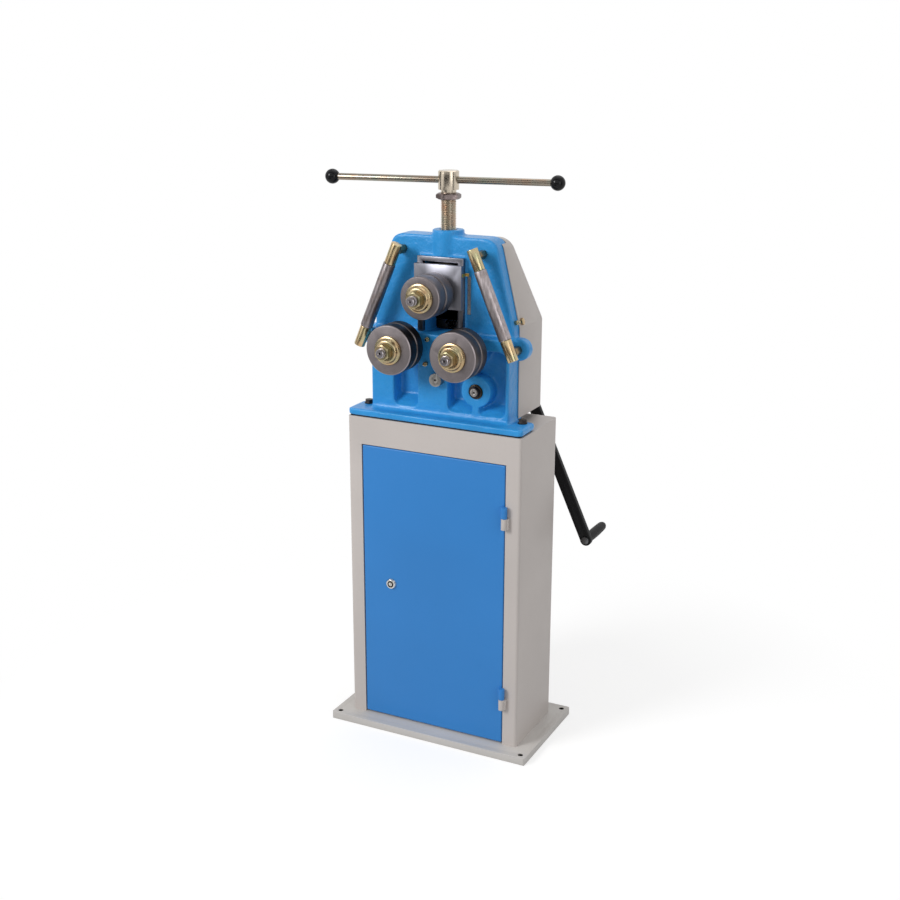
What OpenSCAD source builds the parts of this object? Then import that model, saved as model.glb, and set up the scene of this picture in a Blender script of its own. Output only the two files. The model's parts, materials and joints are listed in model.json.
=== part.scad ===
// Angle roll bender: a hand-driven three-roll section bender on a sheet-metal stand.
// Millimetres, +Z up, front towards -Y, origin under the middle of the floor plate.

/* [Floor plate] */
// How far the floor plate stands out on each side of the cabinet
plate_out = 36; // [31:1:80]
// Depth of the floor plate, front to back
plate_d = 265; // [250:5:400]
// Thickness of the floor plate
plate_t = 16; // [8:1:25]
// Corner radius of the floor plate
plate_corner_r = 5; // [2:1:12]
// Diameter of the holes for floor bolts
floor_hole_d = 12; // [8:1:16]
// Distance of the floor holes from the plate's edges
floor_hole_inset = 15; // [12:1:25]

/* [Cabinet] */
// Depth of the cabinet
cabinet_d = 190; // [180:2:230]
// Height of the cabinet
cabinet_h = 700; // [600:10:800]
// Thickness of the cabinet's sheet metal
sheet_t = 2; // [1.5:0.5:3]
// Outer radius of the cabinet's folded corners
bend_r = 7; // [5:1:14]
// Width of the upright strips beside the door
stile_w = 33; // [28:1:45]
// Height of the strip above the door
header_h = 60; // [40:2:90]
// Depth of the folded return round the door opening
return_d = 18; // [12:1:20]
// Thickness of the plate that closes the cabinet's top
top_t = 8; // [5:1:12]

/* [Door] */
// Gap between the door and its opening
door_gap = 2; // [1:0.5:4]
// Gap between the door and the floor plate
door_foot_gap = 4; // [2:1:10]
// Depth of the folded door pan
door_t = 17; // [12:1:18]
// Outer radius of the door's folded edges
door_fold_r = 3; // [2:0.5:5]
// Outer diameter of the hinge barrels
hinge_d = 13; // [10:1:16]
// Length of one hinge half
hinge_half_h = 24; // [16:1:40]
// Diameter of the hinge pins
hinge_pin_d = 7; // [5:0.5:8]
// Height of the lower hinge's joint above the floor plate
hinge_low_h = 112; // [60:1:160]
// Height of the upper hinge's joint above the floor plate
hinge_high_h = 526; // [420:1:560]
// Height of the lock above the floor plate
lock_h = 328; // [250:1:400]
// Distance of the lock from the door's free edge
lock_inset = 68; // [56:1:74]
// Diameter of the lock's front rosette
lock_rose_d = 25; // [22:0.5:28]
// Length of the lock cam from its pivot
lock_cam_len = 81; // [78:1:90]

/* [Casting] */
// Distance from the cabinet's front to the casting's rear face
cast_reach = 102; // [98:1:115]
// How far the foot flange stands out on each side of the casting's foot
flange_out = 44; // [40:1:50]
// Depth of the foot flange
flange_d = 72; // [66:1:90]
// Thickness of the foot flange
flange_t = 17; // [12:1:22]
// Corner radius of the foot flange
flange_corner_r = 9; // [4:1:14]
// Width of the casting at its foot
foot_w = 320; // [306:2:340]
// Width of the casting at its top
top_w = 234; // [216:2:260]
// Height of the casting above the cabinet
cast_h = 391; // [376:1:420]
// Height at which the casting starts to narrow
shoulder_h = 209; // [196:1:240]
// Thickness of the upright plate with its rim
cast_plate_t = 52; // [46:1:58]
// Thickness of the lower block
block_t = 72; // [68:1:76]
// Height of the lower block's top
block_h = 192; // [190:0.5:194]
// Thickness of the casting at the slide's seat
pad_t = 64; // [60:1:66]
// Width of the slide's seat
pad_w = 106; // [98:1:107]
// Radius of the casting's top corners
cast_corner_r = 28; // [15:1:40]
// Radius of the fillet between the block and the flange
foot_fillet_r = 10; // [4:1:11]
// Diameter of the screw boss
boss_d = 66; // [58:1:74]
// Height of the screw boss above the casting
boss_rise = 12; // [6:1:20]
// Radius of the ears that carry the lower guide studs
ear_r = 23; // [18:1:26]
// Thickness of the ears
ear_t = 25; // [18:1:28]
// Depth of the pockets in the lower block
pocket_depth = 32; // [15:1:40]
// Radius of the pockets' corners
pocket_r = 13; // [6:1:16]

/* [Rolls] */
// Distance between the two driven rolls' axes
roll_spread = 146; // [142:1:156]
// Height of the driven rolls above the cabinet
roll_h = 166; // [164:0.5:168]
// Height of the upper roll above the cabinet at rest
upper_h = 279.5; // [279:0.5:290]
// Diameter of the driven rolls
lower_roll_d = 104; // [90:1:106]
// Diameter of the upper roll
upper_roll_d = 88; // [76:1:90]
// Distance of the rolls' front faces from the casting's rear face
roll_reach = 155; // [150:1:165]
// Length of the driven rolls
lower_roll_w = 56; // [46:1:62]
// Length of the upper roll
upper_roll_w = 64; // [50:1:66]
// Length of the driven rolls' front rings
lower_ring_w = 28; // [20:1:32]
// Length of the upper roll's front ring
upper_ring_w = 31; // [20:1:36]
// Width of the groove between two rings
groove_w = 3; // [2:0.5:6]
// Depth of the groove between two rings
groove_depth = 4; // [2:0.5:8]
// Chamfer on the rings' edges
ring_chamfer = 2; // [0.5:0.5:4]
// Diameter of the roll shafts
shaft_d = 30; // [26:1:32]
// Diameter of the shafts' threaded ends
thread_d = 20; // [16:1:24]
// Diameter of the collars behind the rolls
collar_d = 46; // [40:1:47]
// Diameter of the cap washers
cap_d = 60; // [48:1:64]
// Height of the cap washers
cap_t = 13; // [8:1:16]
// Width across the flats of the roll nuts
nut_af = 30; // [28:1:36]
// Height of the roll nuts
nut_t = 16; // [10:1:18]
// Length of a driven shaft's tip in front of its nut
lower_tip = 8; // [4:1:14]
// Length of the upper shaft's tip in front of its nut
upper_tip = 13; // [6:1:18]

/* [Gears] */
// Module of the gear teeth
gear_mod = 3; // [2.95:0.01:3.05]
// Teeth on each roll gear
roll_teeth = 40; // [39:1:41]
// Teeth on the idler gear
idler_teeth = 27; // [26:1:28]
// Teeth on the crank pinion
pinion_teeth = 19; // [18:1:20]
// Face width of the gears
gear_w = 25; // [15:1:30]
// Distance of the gears from the casting's rear face
gear_setback = 15; // [13:0.5:20]
// Sideways offset of the crank from the right roll
crank_offset = 13; // [8:1:18]

/* [Press slide] */
// Width of the slide's front plate
slide_plate_w = 108; // [108:1:112]
// Height of the slide's front plate
slide_plate_h = 90; // [84:1:96]
// Thickness of the slide's front plate
slide_plate_t = 12; // [8:1:12]
// Width of the slot that the slide runs in
slot_w = 80; // [78:1:86]
// Height of the slide's body
slide_body_h = 78; // [74:1:80]
// Depth of the slide below the roll's axis
slide_drop = 33.5; // [32:0.5:34]
// Thickness of the keeper behind the slide
keeper_t = 10; // [8:0.5:11]
// Height of the keeper
keeper_h = 70; // [66:1:74]
// Travel of the slide below its rest
press_down = 48; // [20:1:48]
// Travel of the slide above its rest
press_up = 12; // [4:1:16]

/* [Press screw] */
// Diameter of the press screw
screw_d = 32; // [28:1:34]
// Distance of the screw's axis from the casting's rear face
screw_setback = 26; // [25:0.5:30]
// Height of the jam nut above the boss
jam_stand = 60.5; // [50:0.5:80]
// Width across the flats of the jam nut
jam_af = 46; // [42:1:50]
// Height of the jam nut
jam_t = 12; // [10:1:20]
// Diameter of the screw's hub
hub_d = 43; // [38:1:48]
// Height of the screw's hub
hub_h = 38; // [32:1:45]
// Diameter of the tommy bar
tommy_d = 14; // [10:0.5:16]
// Distance between the tommy bar's ball centres
tommy_len = 478; // [360:1:560]
// Angle of the tommy bar at rest
tommy_angle = 10; // [-45:0.5:45]
// How far the tommy bar is pushed to the left at rest
tommy_push = 13; // [-60:1:60]
// Diameter of the ball knobs
ball_d = 31; // [24:0.5:34]

/* [Crank] */
// Diameter of the crank shaft
crank_shaft_d = 22; // [20:1:24]
// Distance of the crank arm from the casting's rear face
arm_reach = 151; // [130:1:170]
// Distance from the crank's axis to the grip
crank_len = 410; // [250:5:450]
// Angle of the crank arm from straight down
crank_angle = 24.3; // [0:0.1:90]
// Width of the crank arm
arm_w = 25; // [20:1:32]
// Thickness of the crank arm
arm_t = 12; // [8:1:14]
// Length of the grip
grip_len = 94; // [70:1:120]
// Largest diameter of the grip
grip_d = 27; // [22:1:34]

/* [Side guides] */
// Distance of the guides' axes from the casting's rear face
guide_reach = 91; // [89:1:96]
// Distance of the guides' upper ends from the casting's top side edges
guide_top_inset = 32; // [26:1:36]
// Drop of the guides' upper ends below the casting's top
guide_top_drop = 16; // [13:1:25]
// How far the guides' lower ends stand out from the casting's foot
guide_low_out = 18; // [14:1:22]
// Drop of the guides' lower ends below the casting's shoulder
guide_low_drop = 53; // [49:1:57]
// Diameter of the turning tubes
guide_tube_d = 26; // [23:0.5:28]
// Diameter of the fixed rods
guide_rod_d = 14; // [10:0.5:16]
// Diameter of the end ferrules
ferrule_d = 23.5; // [20:0.5:25]
// Length of the end ferrules
ferrule_len = 45; // [42:1:52]
// Distance of the studs from the guides' ends
stud_inset = 16; // [13:1:22]
// Width across the flats of the studs
stud_af = 17; // [14:1:19]

/* [Rear cover] */
// Thickness of the cover's sheet metal
cover_sheet = 2; // [1:0.5:3]
// Depth of the cover behind the casting
cover_depth = 93; // [80:1:120]
// Depth of the cover at its top
cover_top_d = 14; // [10:1:24]
// Height of the cover's top
cover_top_h = 388; // [378:1:389]
// Height at which the cover's back starts to slope
cover_slope_h = 214; // [205:1:260]
// Height of the cover's lower edge
cover_foot_h = 19; // [18:1:30]
// How far the cover's sides lap over the casting
cover_lap = 23; // [18:1:26]

/* [Hidden] */
$fn = 64;

// Clearances and the overrun of every cut
over = 1;
run_clear = 0.05;
seat_clear = 0.03;
thrust_gap = 0.5;
slide_clear = 0.1;
plate_clear = 0.3;
bolt_clear = 0.5;
weld_clear = 0.1;

// Colours
cast_blue = "#3a87c8";
door_blue = "#3f82c2";
stand_grey = "#bdb5ad";
floor_grey = "#b2b2ae";
zinc = "#c8a95a";
steel = "#9a979b";
dark_steel = "#5a585c";
bright_steel = "#b8b6c0";
bronze = "#a5763c";
brass = "#c9a13a";
black = "#1c1c1e";

// Widths that follow the casting's foot: flange, the cabinet under it and the floor plate
flange_w = foot_w + 2 * flange_out;
cabinet_w = flange_w;
plate_w = cabinet_w + 2 * plate_out;

// Main planes of the stand
floor_hole_x = plate_w / 2 - floor_hole_inset;
floor_hole_y = plate_d / 2 - floor_hole_inset;
cab_front = -cabinet_d / 2;
cast_z = plate_t + cabinet_h;
open_w = cabinet_w - 2 * stile_w;
open_top = cast_z - header_h;
door_w = open_w - 2 * door_gap;
door_z = plate_t + door_foot_gap;
door_h = open_top - door_gap - door_z;
hinge_weld = 1;
hinge_x = open_w / 2 + hinge_weld / 2;
hinge_y = cab_front - hinge_d / 2 - hinge_weld;
hinge_leaf = 9;
hinge_pin_share = 0.83;
hinge_pin_h = hinge_half_h * hinge_pin_share;
hinge_zs = [plate_t + hinge_low_h, plate_t + hinge_high_h];

// Lock
lock_x = lock_inset - door_w / 2;
lock_z = plate_t + lock_h;
lock_rim = 4.5;
lock_wall = 2.5;
lock_barrel_d = lock_rose_d - 2 * lock_rim;
lock_plug_d = lock_barrel_d - 2 * lock_wall;
lock_rose_t = 5;
lock_slope = 2.5;
lock_ring_w = 1.8;
lock_ring_depth = 1.5;
lock_nut_t = 4;
lock_nut_spare = 2;
lock_nut_af = lock_rose_d + lock_nut_spare;
lock_cam_t = 3;
lock_cam_w = 16;
lock_cam_gap = 2;
lock_cam_y = cab_front + max(return_d, door_t) + lock_cam_gap;
lock_face_y = cab_front - lock_rose_t;
lock_plug_y = lock_face_y - thrust_gap;
key_slot_w = 1.4;
key_slot_h = 7;
key_slot_depth = 2;

// Depth planes of the machine, counted from the casting's rear face
y_back = cab_front + cast_reach;
y_plate = y_back - cast_plate_t;
y_block = y_back - block_t;
y_pad = y_back - pad_t;
y_roll = y_back - roll_reach;
y_screw = y_back - screw_setback;
y_guide = y_back - guide_reach;
y_gear = y_back + gear_setback;
y_gear_back = y_gear + gear_w;
y_slide = y_pad - plate_clear;
y_slide_front = y_slide - slide_plate_t;
y_keeper = y_back + plate_clear;
y_keeper_back = y_keeper + keeper_t;
y_arm = y_back + arm_reach;

// Heights of the machine
z_flange = cast_z + flange_t;
z_block = cast_z + block_h;
z_shoulder = cast_z + shoulder_h;
z_cast_top = cast_z + cast_h;
z_boss = z_cast_top + boss_rise;
z_roll = cast_z + roll_h;
z_upper = cast_z + upper_h;
z_slide = z_upper - slide_drop;
z_slide_top = z_slide + slide_body_h;
slot_spare = 9;
slot_head = 4;
z_slot = z_slide - press_down - slot_spare;
z_slot_top = z_slide_top + press_up + slot_head;
pad_over = 10;
z_pad = z_slot_top + pad_over;
taper = atan((foot_w - top_w) / 2 / (cast_h - shoulder_h));

// Gear train: the idler hangs between the roll gears, the pinion under the right one
gear_pressure = 20;
gear_backlash = 0.2;
dedendum_share = 1.25;
flank_steps = 3;
gear_washer_d = 48;
pinion_hub_d = 38;
roll_pair = (roll_teeth + idler_teeth) * gear_mod / 2;
crank_pair = (roll_teeth + pinion_teeth) * gear_mod / 2;
z_idler = z_roll - sqrt(pow(roll_pair, 2) - pow(roll_spread / 2, 2));
crank_x = roll_spread / 2 + crank_offset;
z_crank = z_roll - sqrt(pow(crank_pair, 2) - pow(crank_offset, 2));
right_phase = 0;
idler_dir = atan2(z_idler - z_roll, -roll_spread / 2);
idler_phase = mesh_phase(right_phase, roll_teeth, idler_teeth, idler_dir);
left_dir = atan2(z_roll - z_idler, -roll_spread / 2);
left_phase = mesh_phase(idler_phase, idler_teeth, roll_teeth, left_dir);
pinion_dir = atan2(z_crank - z_roll, crank_offset);
pinion_phase = mesh_phase(right_phase, roll_teeth, pinion_teeth, pinion_dir);

// Shafts and bushes
bush_wall = 5;
bush_d = shaft_d + 2 * bush_wall;
crank_bush_wall = 4;
crank_bush_d = crank_shaft_d + 2 * crank_bush_wall;
centre_d = 5;
centre_depth = 7;
washer_t = 3;
rear_nut_t = 12;
thread_spare = 3;
idler_pin_d = 20;
idler_head_d = 28;
idler_head_t = 16;
idler_washer_d = 34;
idler_washer_t = 4;
idler_bolt_af = 17;
idler_bolt_t = 8;

// Slide details
collar_seat_d = 36;
collar_seat_h = 10;
screw_neck_d = 24;
screw_keeper_d = 48;
screw_keeper_t = 9;
keeper_w = slide_plate_w;
keeper_lift = 2;
keeper_screw_d = 8;
keeper_head_d = 13;
keeper_head_t = 5;
keeper_grip = 20;
keeper_screw_x = 31;
keeper_screw_inset = 7;
z_collar = z_slide_top - screw_keeper_t - collar_seat_h - thrust_gap;
retainer_d = 42;
retainer_t = 5;
retainer_nut_t = 10;

// Screw details
z_jam = z_boss + jam_stand;
z_spigot = z_jam + jam_t;
hub_neck_h = 7.5;
hub_neck_wall = 4;
hub_neck_d = screw_neck_d + 2 * hub_neck_wall;
z_hub = z_spigot + hub_neck_h;
tommy_drop = 19;
z_tommy = z_hub + hub_h - tommy_drop;
thread_start = 6;
ball_seat = 6;
ball_clear = 0.1;
hub_chamfer = 2;

// Crank details
eye_d = 40;
eye_rise = 8;
eye_step = 2;
arm_end_rise = 1;
crank_spigot_d = 18;
crank_nut_af = 24;
crank_nut_t = 13;
grip_bolt_d = 10;
grip_head_d = 17;
grip_head_t = 4;
grip_bulge = 2.5;
grip_steps = 8;
crank_clip_d = 28;
crank_clip_t = 2;
crank_front = 9;
crank_stop_d = 32;
crank_stop_t = 8;
crank_dir = crank_angle - 90;
grip_x = crank_x + crank_len * cos(crank_dir);
grip_z = z_crank + crank_len * sin(crank_dir);
y_grip = y_arm + arm_t + thrust_gap;
y_grip_end = y_grip + grip_len;

// Guides
guide_top_x = top_w / 2 - guide_top_inset;
guide_low_x = foot_w / 2 + guide_low_out;
guide_top_h = cast_h - guide_top_drop;
guide_low_h = shoulder_h - guide_low_drop;
z_guide_top = cast_z + guide_top_h;
guide_run = guide_low_x - guide_top_x;
guide_fall = guide_top_h - guide_low_h;
guide_tilt = atan(guide_run / guide_fall);
guide_len = sqrt(pow(guide_run, 2) + pow(guide_fall, 2));
rod_seat = 15;
stud_d = 10;
stud_grip = 14;
stud_past = 6;
ear_x = guide_low_x - stud_inset * sin(guide_tilt);
ear_z = cast_z + guide_low_h + stud_inset * cos(guide_tilt);
top_stud_x = guide_top_x + stud_inset * sin(guide_tilt);
top_stud_z = z_guide_top - stud_inset * cos(guide_tilt);

// Cover and its bolts
cover_clear = 0.5;
y_cover_front = y_back - cover_lap;
y_cover_rear = y_back + cover_depth;
z_cover_foot = cast_z + cover_foot_h;
z_cover_slope = cast_z + cover_slope_h;
z_cover_top = cast_z + cover_top_h;
cover_slope = atan((cover_depth - cover_top_d) / (cover_top_h - cover_slope_h));
cover_hole_spare = 3;
cover_bolt_d = 8;
cover_bolt_af = 13;
cover_bolt_head = 6;
cover_bolt_grip = 14;
cover_bolt_rise = 12;
z_cover_bolt = z_shoulder + cover_bolt_rise;
y_cover_bolt = y_back - cover_lap / 2;

// Flange bolts
flange_bolt_d = 10;
flange_bolt_af = 16;
flange_bolt_head = 6.5;
flange_washer_d = 20;
flange_washer_t = 2;
flange_nut_t = 8;
flange_bolt_inset = 22;
flange_bolt_rear = 17;
flange_bolt_y = cab_front + flange_d - flange_bolt_rear;
flange_bolt_x = flange_w / 2 - flange_bolt_inset;

// Pockets of the lower block, between upright ribs
pocket_left_x = 106;
pocket_rib_x = 50;
pocket_mid_x = 21;
pocket_side_t = 8;
pocket_right_x = foot_w / 2 - pocket_side_t;
pocket_floor = 12;
pocket_slope_h = 22;
bush_boss_d = 70;
crank_boss_d = 68;
crank_rib_w = 16;

// Scale and grease nipples
strip_gap = 3.5;
strip_w = 7;
strip_h = 78;
strip_t = 1.5;
strip_drop = 45;
strip_screw_d = 5;
strip_screw_inset = 5;
pointer_t = 2;
pointer_h = 6;
pointer_reach = 9;
pointer_gap = 2;
pointer_drop = 22;
nipple_af = 9;
nipple_hex_t = 6;
nipple_tip_d = 6;
nipple_tip_h = 6;
nipple_seat_d = 6;
nipple_seat = 5;
nipple_top_x = 24;
nipple_top_rise = 13;
nipple_low_x = 29;
nipple_low_drop = 40;
nipple_side_gap = 13;
nipple_side_rise = 14;
y_nipple_side = y_cover_front - nipple_side_gap;

// Tooth centre angle of gear b that meshes with gear a, b lying from a in direction dir
function mesh_phase(phase_a, teeth_a, teeth_b, dir) =
    dir + 180 + (180 - (phase_a - dir) * teeth_a) / teeth_b;

// Involute angle of a gear flank at a radius, in degrees
function involute_angle(base, radius) =
    let (a = acos(min(1, base / radius))) tan(a) * 180 / PI - a;

// Points of an arc
function arc(centre, r, from, to, steps) =
    [for (i = [0:steps]) let (a = from + (to - from) * i / steps) centre + r * [cos(a), sin(a)]];

// A right half of an outline and its mirror image
function both_sides(half) =
    concat(half, [for (i = [len(half) - 1:-1:0]) [-half[i][0], half[i][1]]]);

// Half width of the casting's sloping side at a height, grown by g
function side_x(z, g) = foot_w / 2 + g / cos(taper) - (z - z_shoulder) * tan(taper);

// Outline of the casting grown by g, from z_low to z_high, with round top corners
function cast_outline(g, z_low, z_high, r) =
    both_sides(concat(
        z_low < z_shoulder
            ? [[foot_w / 2 + g, z_low], [foot_w / 2 + g, z_shoulder + g * tan(taper / 2)]]
            : [[side_x(z_low, g), z_low]],
        arc([side_x(z_high - r, g) - r / cos(taper), z_high - r], r, taper, 90, 10)
    ));

// Side view of the cover, grown by g
function cover_profile(g) = [
    [y_cover_front - over, z_cover_foot - over],
    [y_cover_rear + g, z_cover_foot - over],
    [y_cover_rear + g, z_cover_slope + g * tan(cover_slope / 2)],
    [
        y_cover_rear + g / cos(cover_slope) - (z_cover_top + g - z_cover_slope) * tan(cover_slope),
        z_cover_top + g,
    ],
    [y_cover_front - over, z_cover_top + g],
];

// A place on the casting's sloping side, with Z standing square on it
module at_slope(side, y, z) {
    translate([side * side_x(z, 0), y, z])
        rotate([0, side * (90 - taper), 0])
            children();
}

// A flat shape drawn in X and Z, filling the depth from y_front to y_rear
module slab(y_front, y_rear) {
    translate([0, y_rear, 0])
        rotate([90, 0, 0])
            linear_extrude(y_rear - y_front)
                children();
}

// A side view drawn in Y and Z, filling the width w about the middle
module across(w) {
    translate([-w / 2, 0, 0])
        rotate([90, 0, 90])
            linear_extrude(w)
                children();
}

// A round bar along Y
module bar_y(d, y_front, y_rear) {
    translate([0, y_rear, 0])
        rotate([90, 0, 0])
            cylinder(d = d, h = y_rear - y_front);
}

// A tube along Y
module tube_y(d, bore, y_front, y_rear) {
    difference() {
        bar_y(d, y_front, y_rear);
        bar_y(bore, y_front - over, y_rear + over);
    }
}

// A hexagon bar along Y
module hex_y(af, y_front, y_rear) {
    translate([0, y_rear, 0])
        rotate([90, 0, 0])
            cylinder(d = af / cos(30), h = y_rear - y_front, $fn = 6);
}

// A shape turned about an axis along Y, drawn as radius and distance in front of y
module turned_y(y) {
    translate([0, y, 0])
        rotate([90, 0, 0])
            rotate_extrude()
                children();
}

// A rectangle with round corners
module round_rect(w, h, r) {
    square([w - 2 * r, h], center = true);
    square([w, h - 2 * r], center = true);
    for (x = [-1, 1], y = [-1, 1])
        translate([x * (w / 2 - r), y * (h / 2 - r)])
            circle(r);
}

// A rectangle with round corners between two corners
module round_box(x0, z0, x1, z1, r) {
    translate([(x0 + x1) / 2, (z0 + z1) / 2])
        round_rect(x1 - x0, z1 - z0, r);
}

// Places along the shared axes
module at_xz(x, z) {
    translate([x, 0, z])
        children();
}

module at_roll(side) {
    at_xz(side * roll_spread / 2, z_roll)
        children();
}

module at_lock() {
    at_xz(lock_x, lock_z)
        children();
}

module at_screw() {
    translate([0, y_screw, 0])
        children();
}

// A guide's own frame: its upper end at the origin, its axis down -Z
module at_guide(side) {
    translate([side * guide_top_x, y_guide, z_guide_top])
        rotate([0, -side * guide_tilt, 0])
            children();
}

// An involute spur gear, flat, with a tooth centre at the given angle
module gear_outline(teeth, phase) {
    pitch_r = teeth * gear_mod / 2;
    base_r = pitch_r * cos(gear_pressure);
    root_r = pitch_r - dedendum_share * gear_mod;
    start_r = max(base_r, root_r);
    tip_r = pitch_r + gear_mod;
    half_pitch = 90 / teeth - gear_backlash / pitch_r * 90 / PI + involute_angle(base_r, pitch_r);
    radii = [for (i = [0:flank_steps]) start_r + (tip_r - start_r) * i / flank_steps];
    flank = [for (i = [0:flank_steps])
        [i == 0 ? root_r : radii[i], half_pitch - involute_angle(base_r, radii[i])]];
    polygon([for (k = [0:teeth - 1], side = [-1, 1], i = [0:flank_steps])
        let (p = flank[side < 0 ? i : flank_steps - i], a = phase + 360 * k / teeth + side * p[1])
        p[0] * [cos(a), sin(a)]]);
}

// A spur gear with a hub towards the casting
module spur_gear(teeth, phase, bore, hub) {
    difference() {
        union() {
            slab(y_gear, y_gear_back)
                gear_outline(teeth, phase);
            bar_y(hub, y_back + thrust_gap, y_gear + over);
        }
        bar_y(bore, y_back, y_gear_back + over);
    }
}

// Stand

module base_plate() {
    color(floor_grey)
        difference() {
            linear_extrude(plate_t)
                round_rect(plate_w, plate_d, plate_corner_r);
            for (x = [-1, 1], y = [-1, 1])
                translate([x * floor_hole_x, y * floor_hole_y, -over])
                    cylinder(d = floor_hole_d, h = plate_t + 2 * over);
        }
}

module cabinet_body() {
    color(stand_grey) {
        difference() {
            translate([0, 0, plate_t])
                linear_extrude(cabinet_h)
                    round_rect(cabinet_w, cabinet_d, bend_r);
            translate([0, 0, plate_t - over])
                linear_extrude(cabinet_h + 2 * over)
                    round_rect(cabinet_w - 2 * sheet_t, cabinet_d - 2 * sheet_t, bend_r - sheet_t);
            translate([-open_w / 2, cab_front - over, plate_t - over])
                cube([open_w, sheet_t + 2 * over, open_top - plate_t + over]);
        }
        for (side = [-1, 1])
            translate([side * (open_w + sheet_t) / 2 - sheet_t / 2, cab_front, plate_t])
                cube([sheet_t, return_d, open_top - plate_t + sheet_t]);
        translate([-open_w / 2, cab_front, open_top])
            cube([open_w, return_d, sheet_t]);
    }
}

module cabinet_top() {
    inner = sheet_t + weld_clear;
    color(stand_grey)
        difference() {
            translate([0, 0, cast_z - top_t])
                linear_extrude(top_t)
                    round_rect(cabinet_w - 2 * inner, cabinet_d - 2 * inner, bend_r - sheet_t);
            for (side = [-1, 1])
                translate([side * flange_bolt_x, flange_bolt_y, cast_z - top_t - over])
                    cylinder(d = flange_bolt_d + 2 * bolt_clear, h = top_t + 2 * over);
        }
}

// One hinge half: a barrel and the leaf that is welded to the sheet behind it
module hinge_half(side) {
    cylinder(d = hinge_d, h = hinge_half_h);
    translate([side < 0 ? -hinge_leaf : 0, 0, 0])
        cube([hinge_leaf, cab_front - hinge_y, hinge_half_h]);
}

module hinge_frame_knuckles() {
    color(stand_grey)
        for (z = hinge_zs)
            translate([hinge_x, hinge_y, z - hinge_half_h]) {
                hinge_half(1);
                cylinder(d = hinge_pin_d, h = hinge_half_h + hinge_pin_h);
            }
}

module hinge_door_knuckles() {
    color(door_blue)
        for (z = hinge_zs)
            translate([hinge_x, hinge_y, z + thrust_gap])
                difference() {
                    hinge_half(-1);
                    translate([0, 0, -over])
                        cylinder(d = hinge_pin_d + 2 * run_clear, h = hinge_pin_h + over);
                }
}

module door_panel() {
    color(door_blue)
        difference() {
            translate([0, 0, door_z])
                linear_extrude(door_h) {
                    translate([-door_w / 2, cab_front + door_fold_r])
                        square([door_w, door_t - door_fold_r]);
                    translate([-door_w / 2 + door_fold_r, cab_front])
                        square([door_w - 2 * door_fold_r, door_fold_r + over]);
                    for (side = [-1, 1])
                        translate([side * (door_w / 2 - door_fold_r), cab_front + door_fold_r])
                            circle(door_fold_r);
                }
            translate([-door_w / 2 + sheet_t, cab_front + sheet_t, door_z + sheet_t])
                cube([door_w - 2 * sheet_t, door_t, door_h - 2 * sheet_t]);
            at_lock()
                bar_y(lock_barrel_d + 2 * seat_clear, cab_front - over, cab_front + sheet_t + over);
        }
}

module lock_body() {
    color(bright_steel)
        at_lock()
            difference() {
                union() {
                    translate([0, cab_front, 0])
                        rotate([90, 0, 0])
                            cylinder(d1 = lock_rose_d, d2 = lock_rose_d - 2 * lock_slope, h = lock_rose_t);
                    bar_y(lock_barrel_d, cab_front - over, cab_front + door_t);
                    hex_y(lock_nut_af, cab_front + sheet_t, cab_front + sheet_t + lock_nut_t);
                }
                bar_y(lock_plug_d + 2 * run_clear, lock_face_y - over, cab_front + door_t + over);
                bar_y(lock_plug_d + 2 * lock_ring_w, lock_face_y - over, lock_face_y + lock_ring_depth);
            }
}

module lock_plug() {
    color(steel)
        at_lock()
            difference() {
                bar_y(lock_plug_d, lock_plug_y, lock_cam_y + lock_cam_t + thrust_gap);
                translate([-key_slot_w / 2, lock_plug_y - over, -key_slot_h / 2])
                    cube([key_slot_w, key_slot_depth + over, key_slot_h]);
            }
}

module lock_cam() {
    color(steel)
        at_lock()
            difference() {
                slab(lock_cam_y, lock_cam_y + lock_cam_t) {
                    circle(d = lock_cam_w);
                    translate([-lock_cam_w / 2, lock_cam_w / 2 - lock_cam_len])
                        square([lock_cam_w, lock_cam_len - lock_cam_w / 2]);
                    translate([0, lock_cam_w / 2 - lock_cam_len])
                        circle(d = lock_cam_w);
                }
                bar_y(lock_plug_d + 2 * seat_clear, lock_cam_y - over, lock_cam_y + lock_cam_t + over);
            }
}

// Machine frame

// The upright plate with its ears and the lower block
module cast_walls() {
    slab(y_plate, y_back)
        polygon(cast_outline(0, cast_z, z_cast_top, cast_corner_r));
    slab(y_block, y_plate + over)
        translate([-foot_w / 2, cast_z])
            square([foot_w, block_h]);
    translate([0, cab_front + flange_d / 2, cast_z])
        linear_extrude(flange_t)
            round_rect(flange_w, flange_d, flange_corner_r);
    for (side = [-1, 1])
        slab(y_plate, y_plate + ear_t) {
            translate([side * ear_x, ear_z])
                circle(ear_r);
            translate([side < 0 ? -ear_x : foot_w / 2 - ear_r, ear_z - ear_r])
                square([ear_x - foot_w / 2 + ear_r, 2 * ear_r]);
        }
    across(foot_w)
        difference() {
            translate([y_block - foot_fillet_r, z_flange - over])
                square([foot_fillet_r + over, foot_fillet_r + over]);
            translate([y_block - foot_fillet_r, z_flange + foot_fillet_r])
                circle(foot_fillet_r);
        }
}

// Pockets of the lower block, with the bosses round the shafts and the rib under the crank left standing
module pocket_outline() {
    difference() {
        union() {
            round_box(-pocket_left_x, z_flange + pocket_floor, -pocket_rib_x, z_roll, pocket_r);
            round_box(pocket_mid_x, z_flange + pocket_floor, pocket_right_x, z_roll, pocket_r);
        }
        for (side = [-1, 1])
            translate([side * roll_spread / 2, z_roll])
                circle(d = bush_boss_d);
        translate([crank_x, z_crank])
            circle(d = crank_boss_d);
        translate([crank_x - crank_rib_w / 2, z_flange])
            square([crank_rib_w, z_crank - z_flange]);
    }
}

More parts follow.
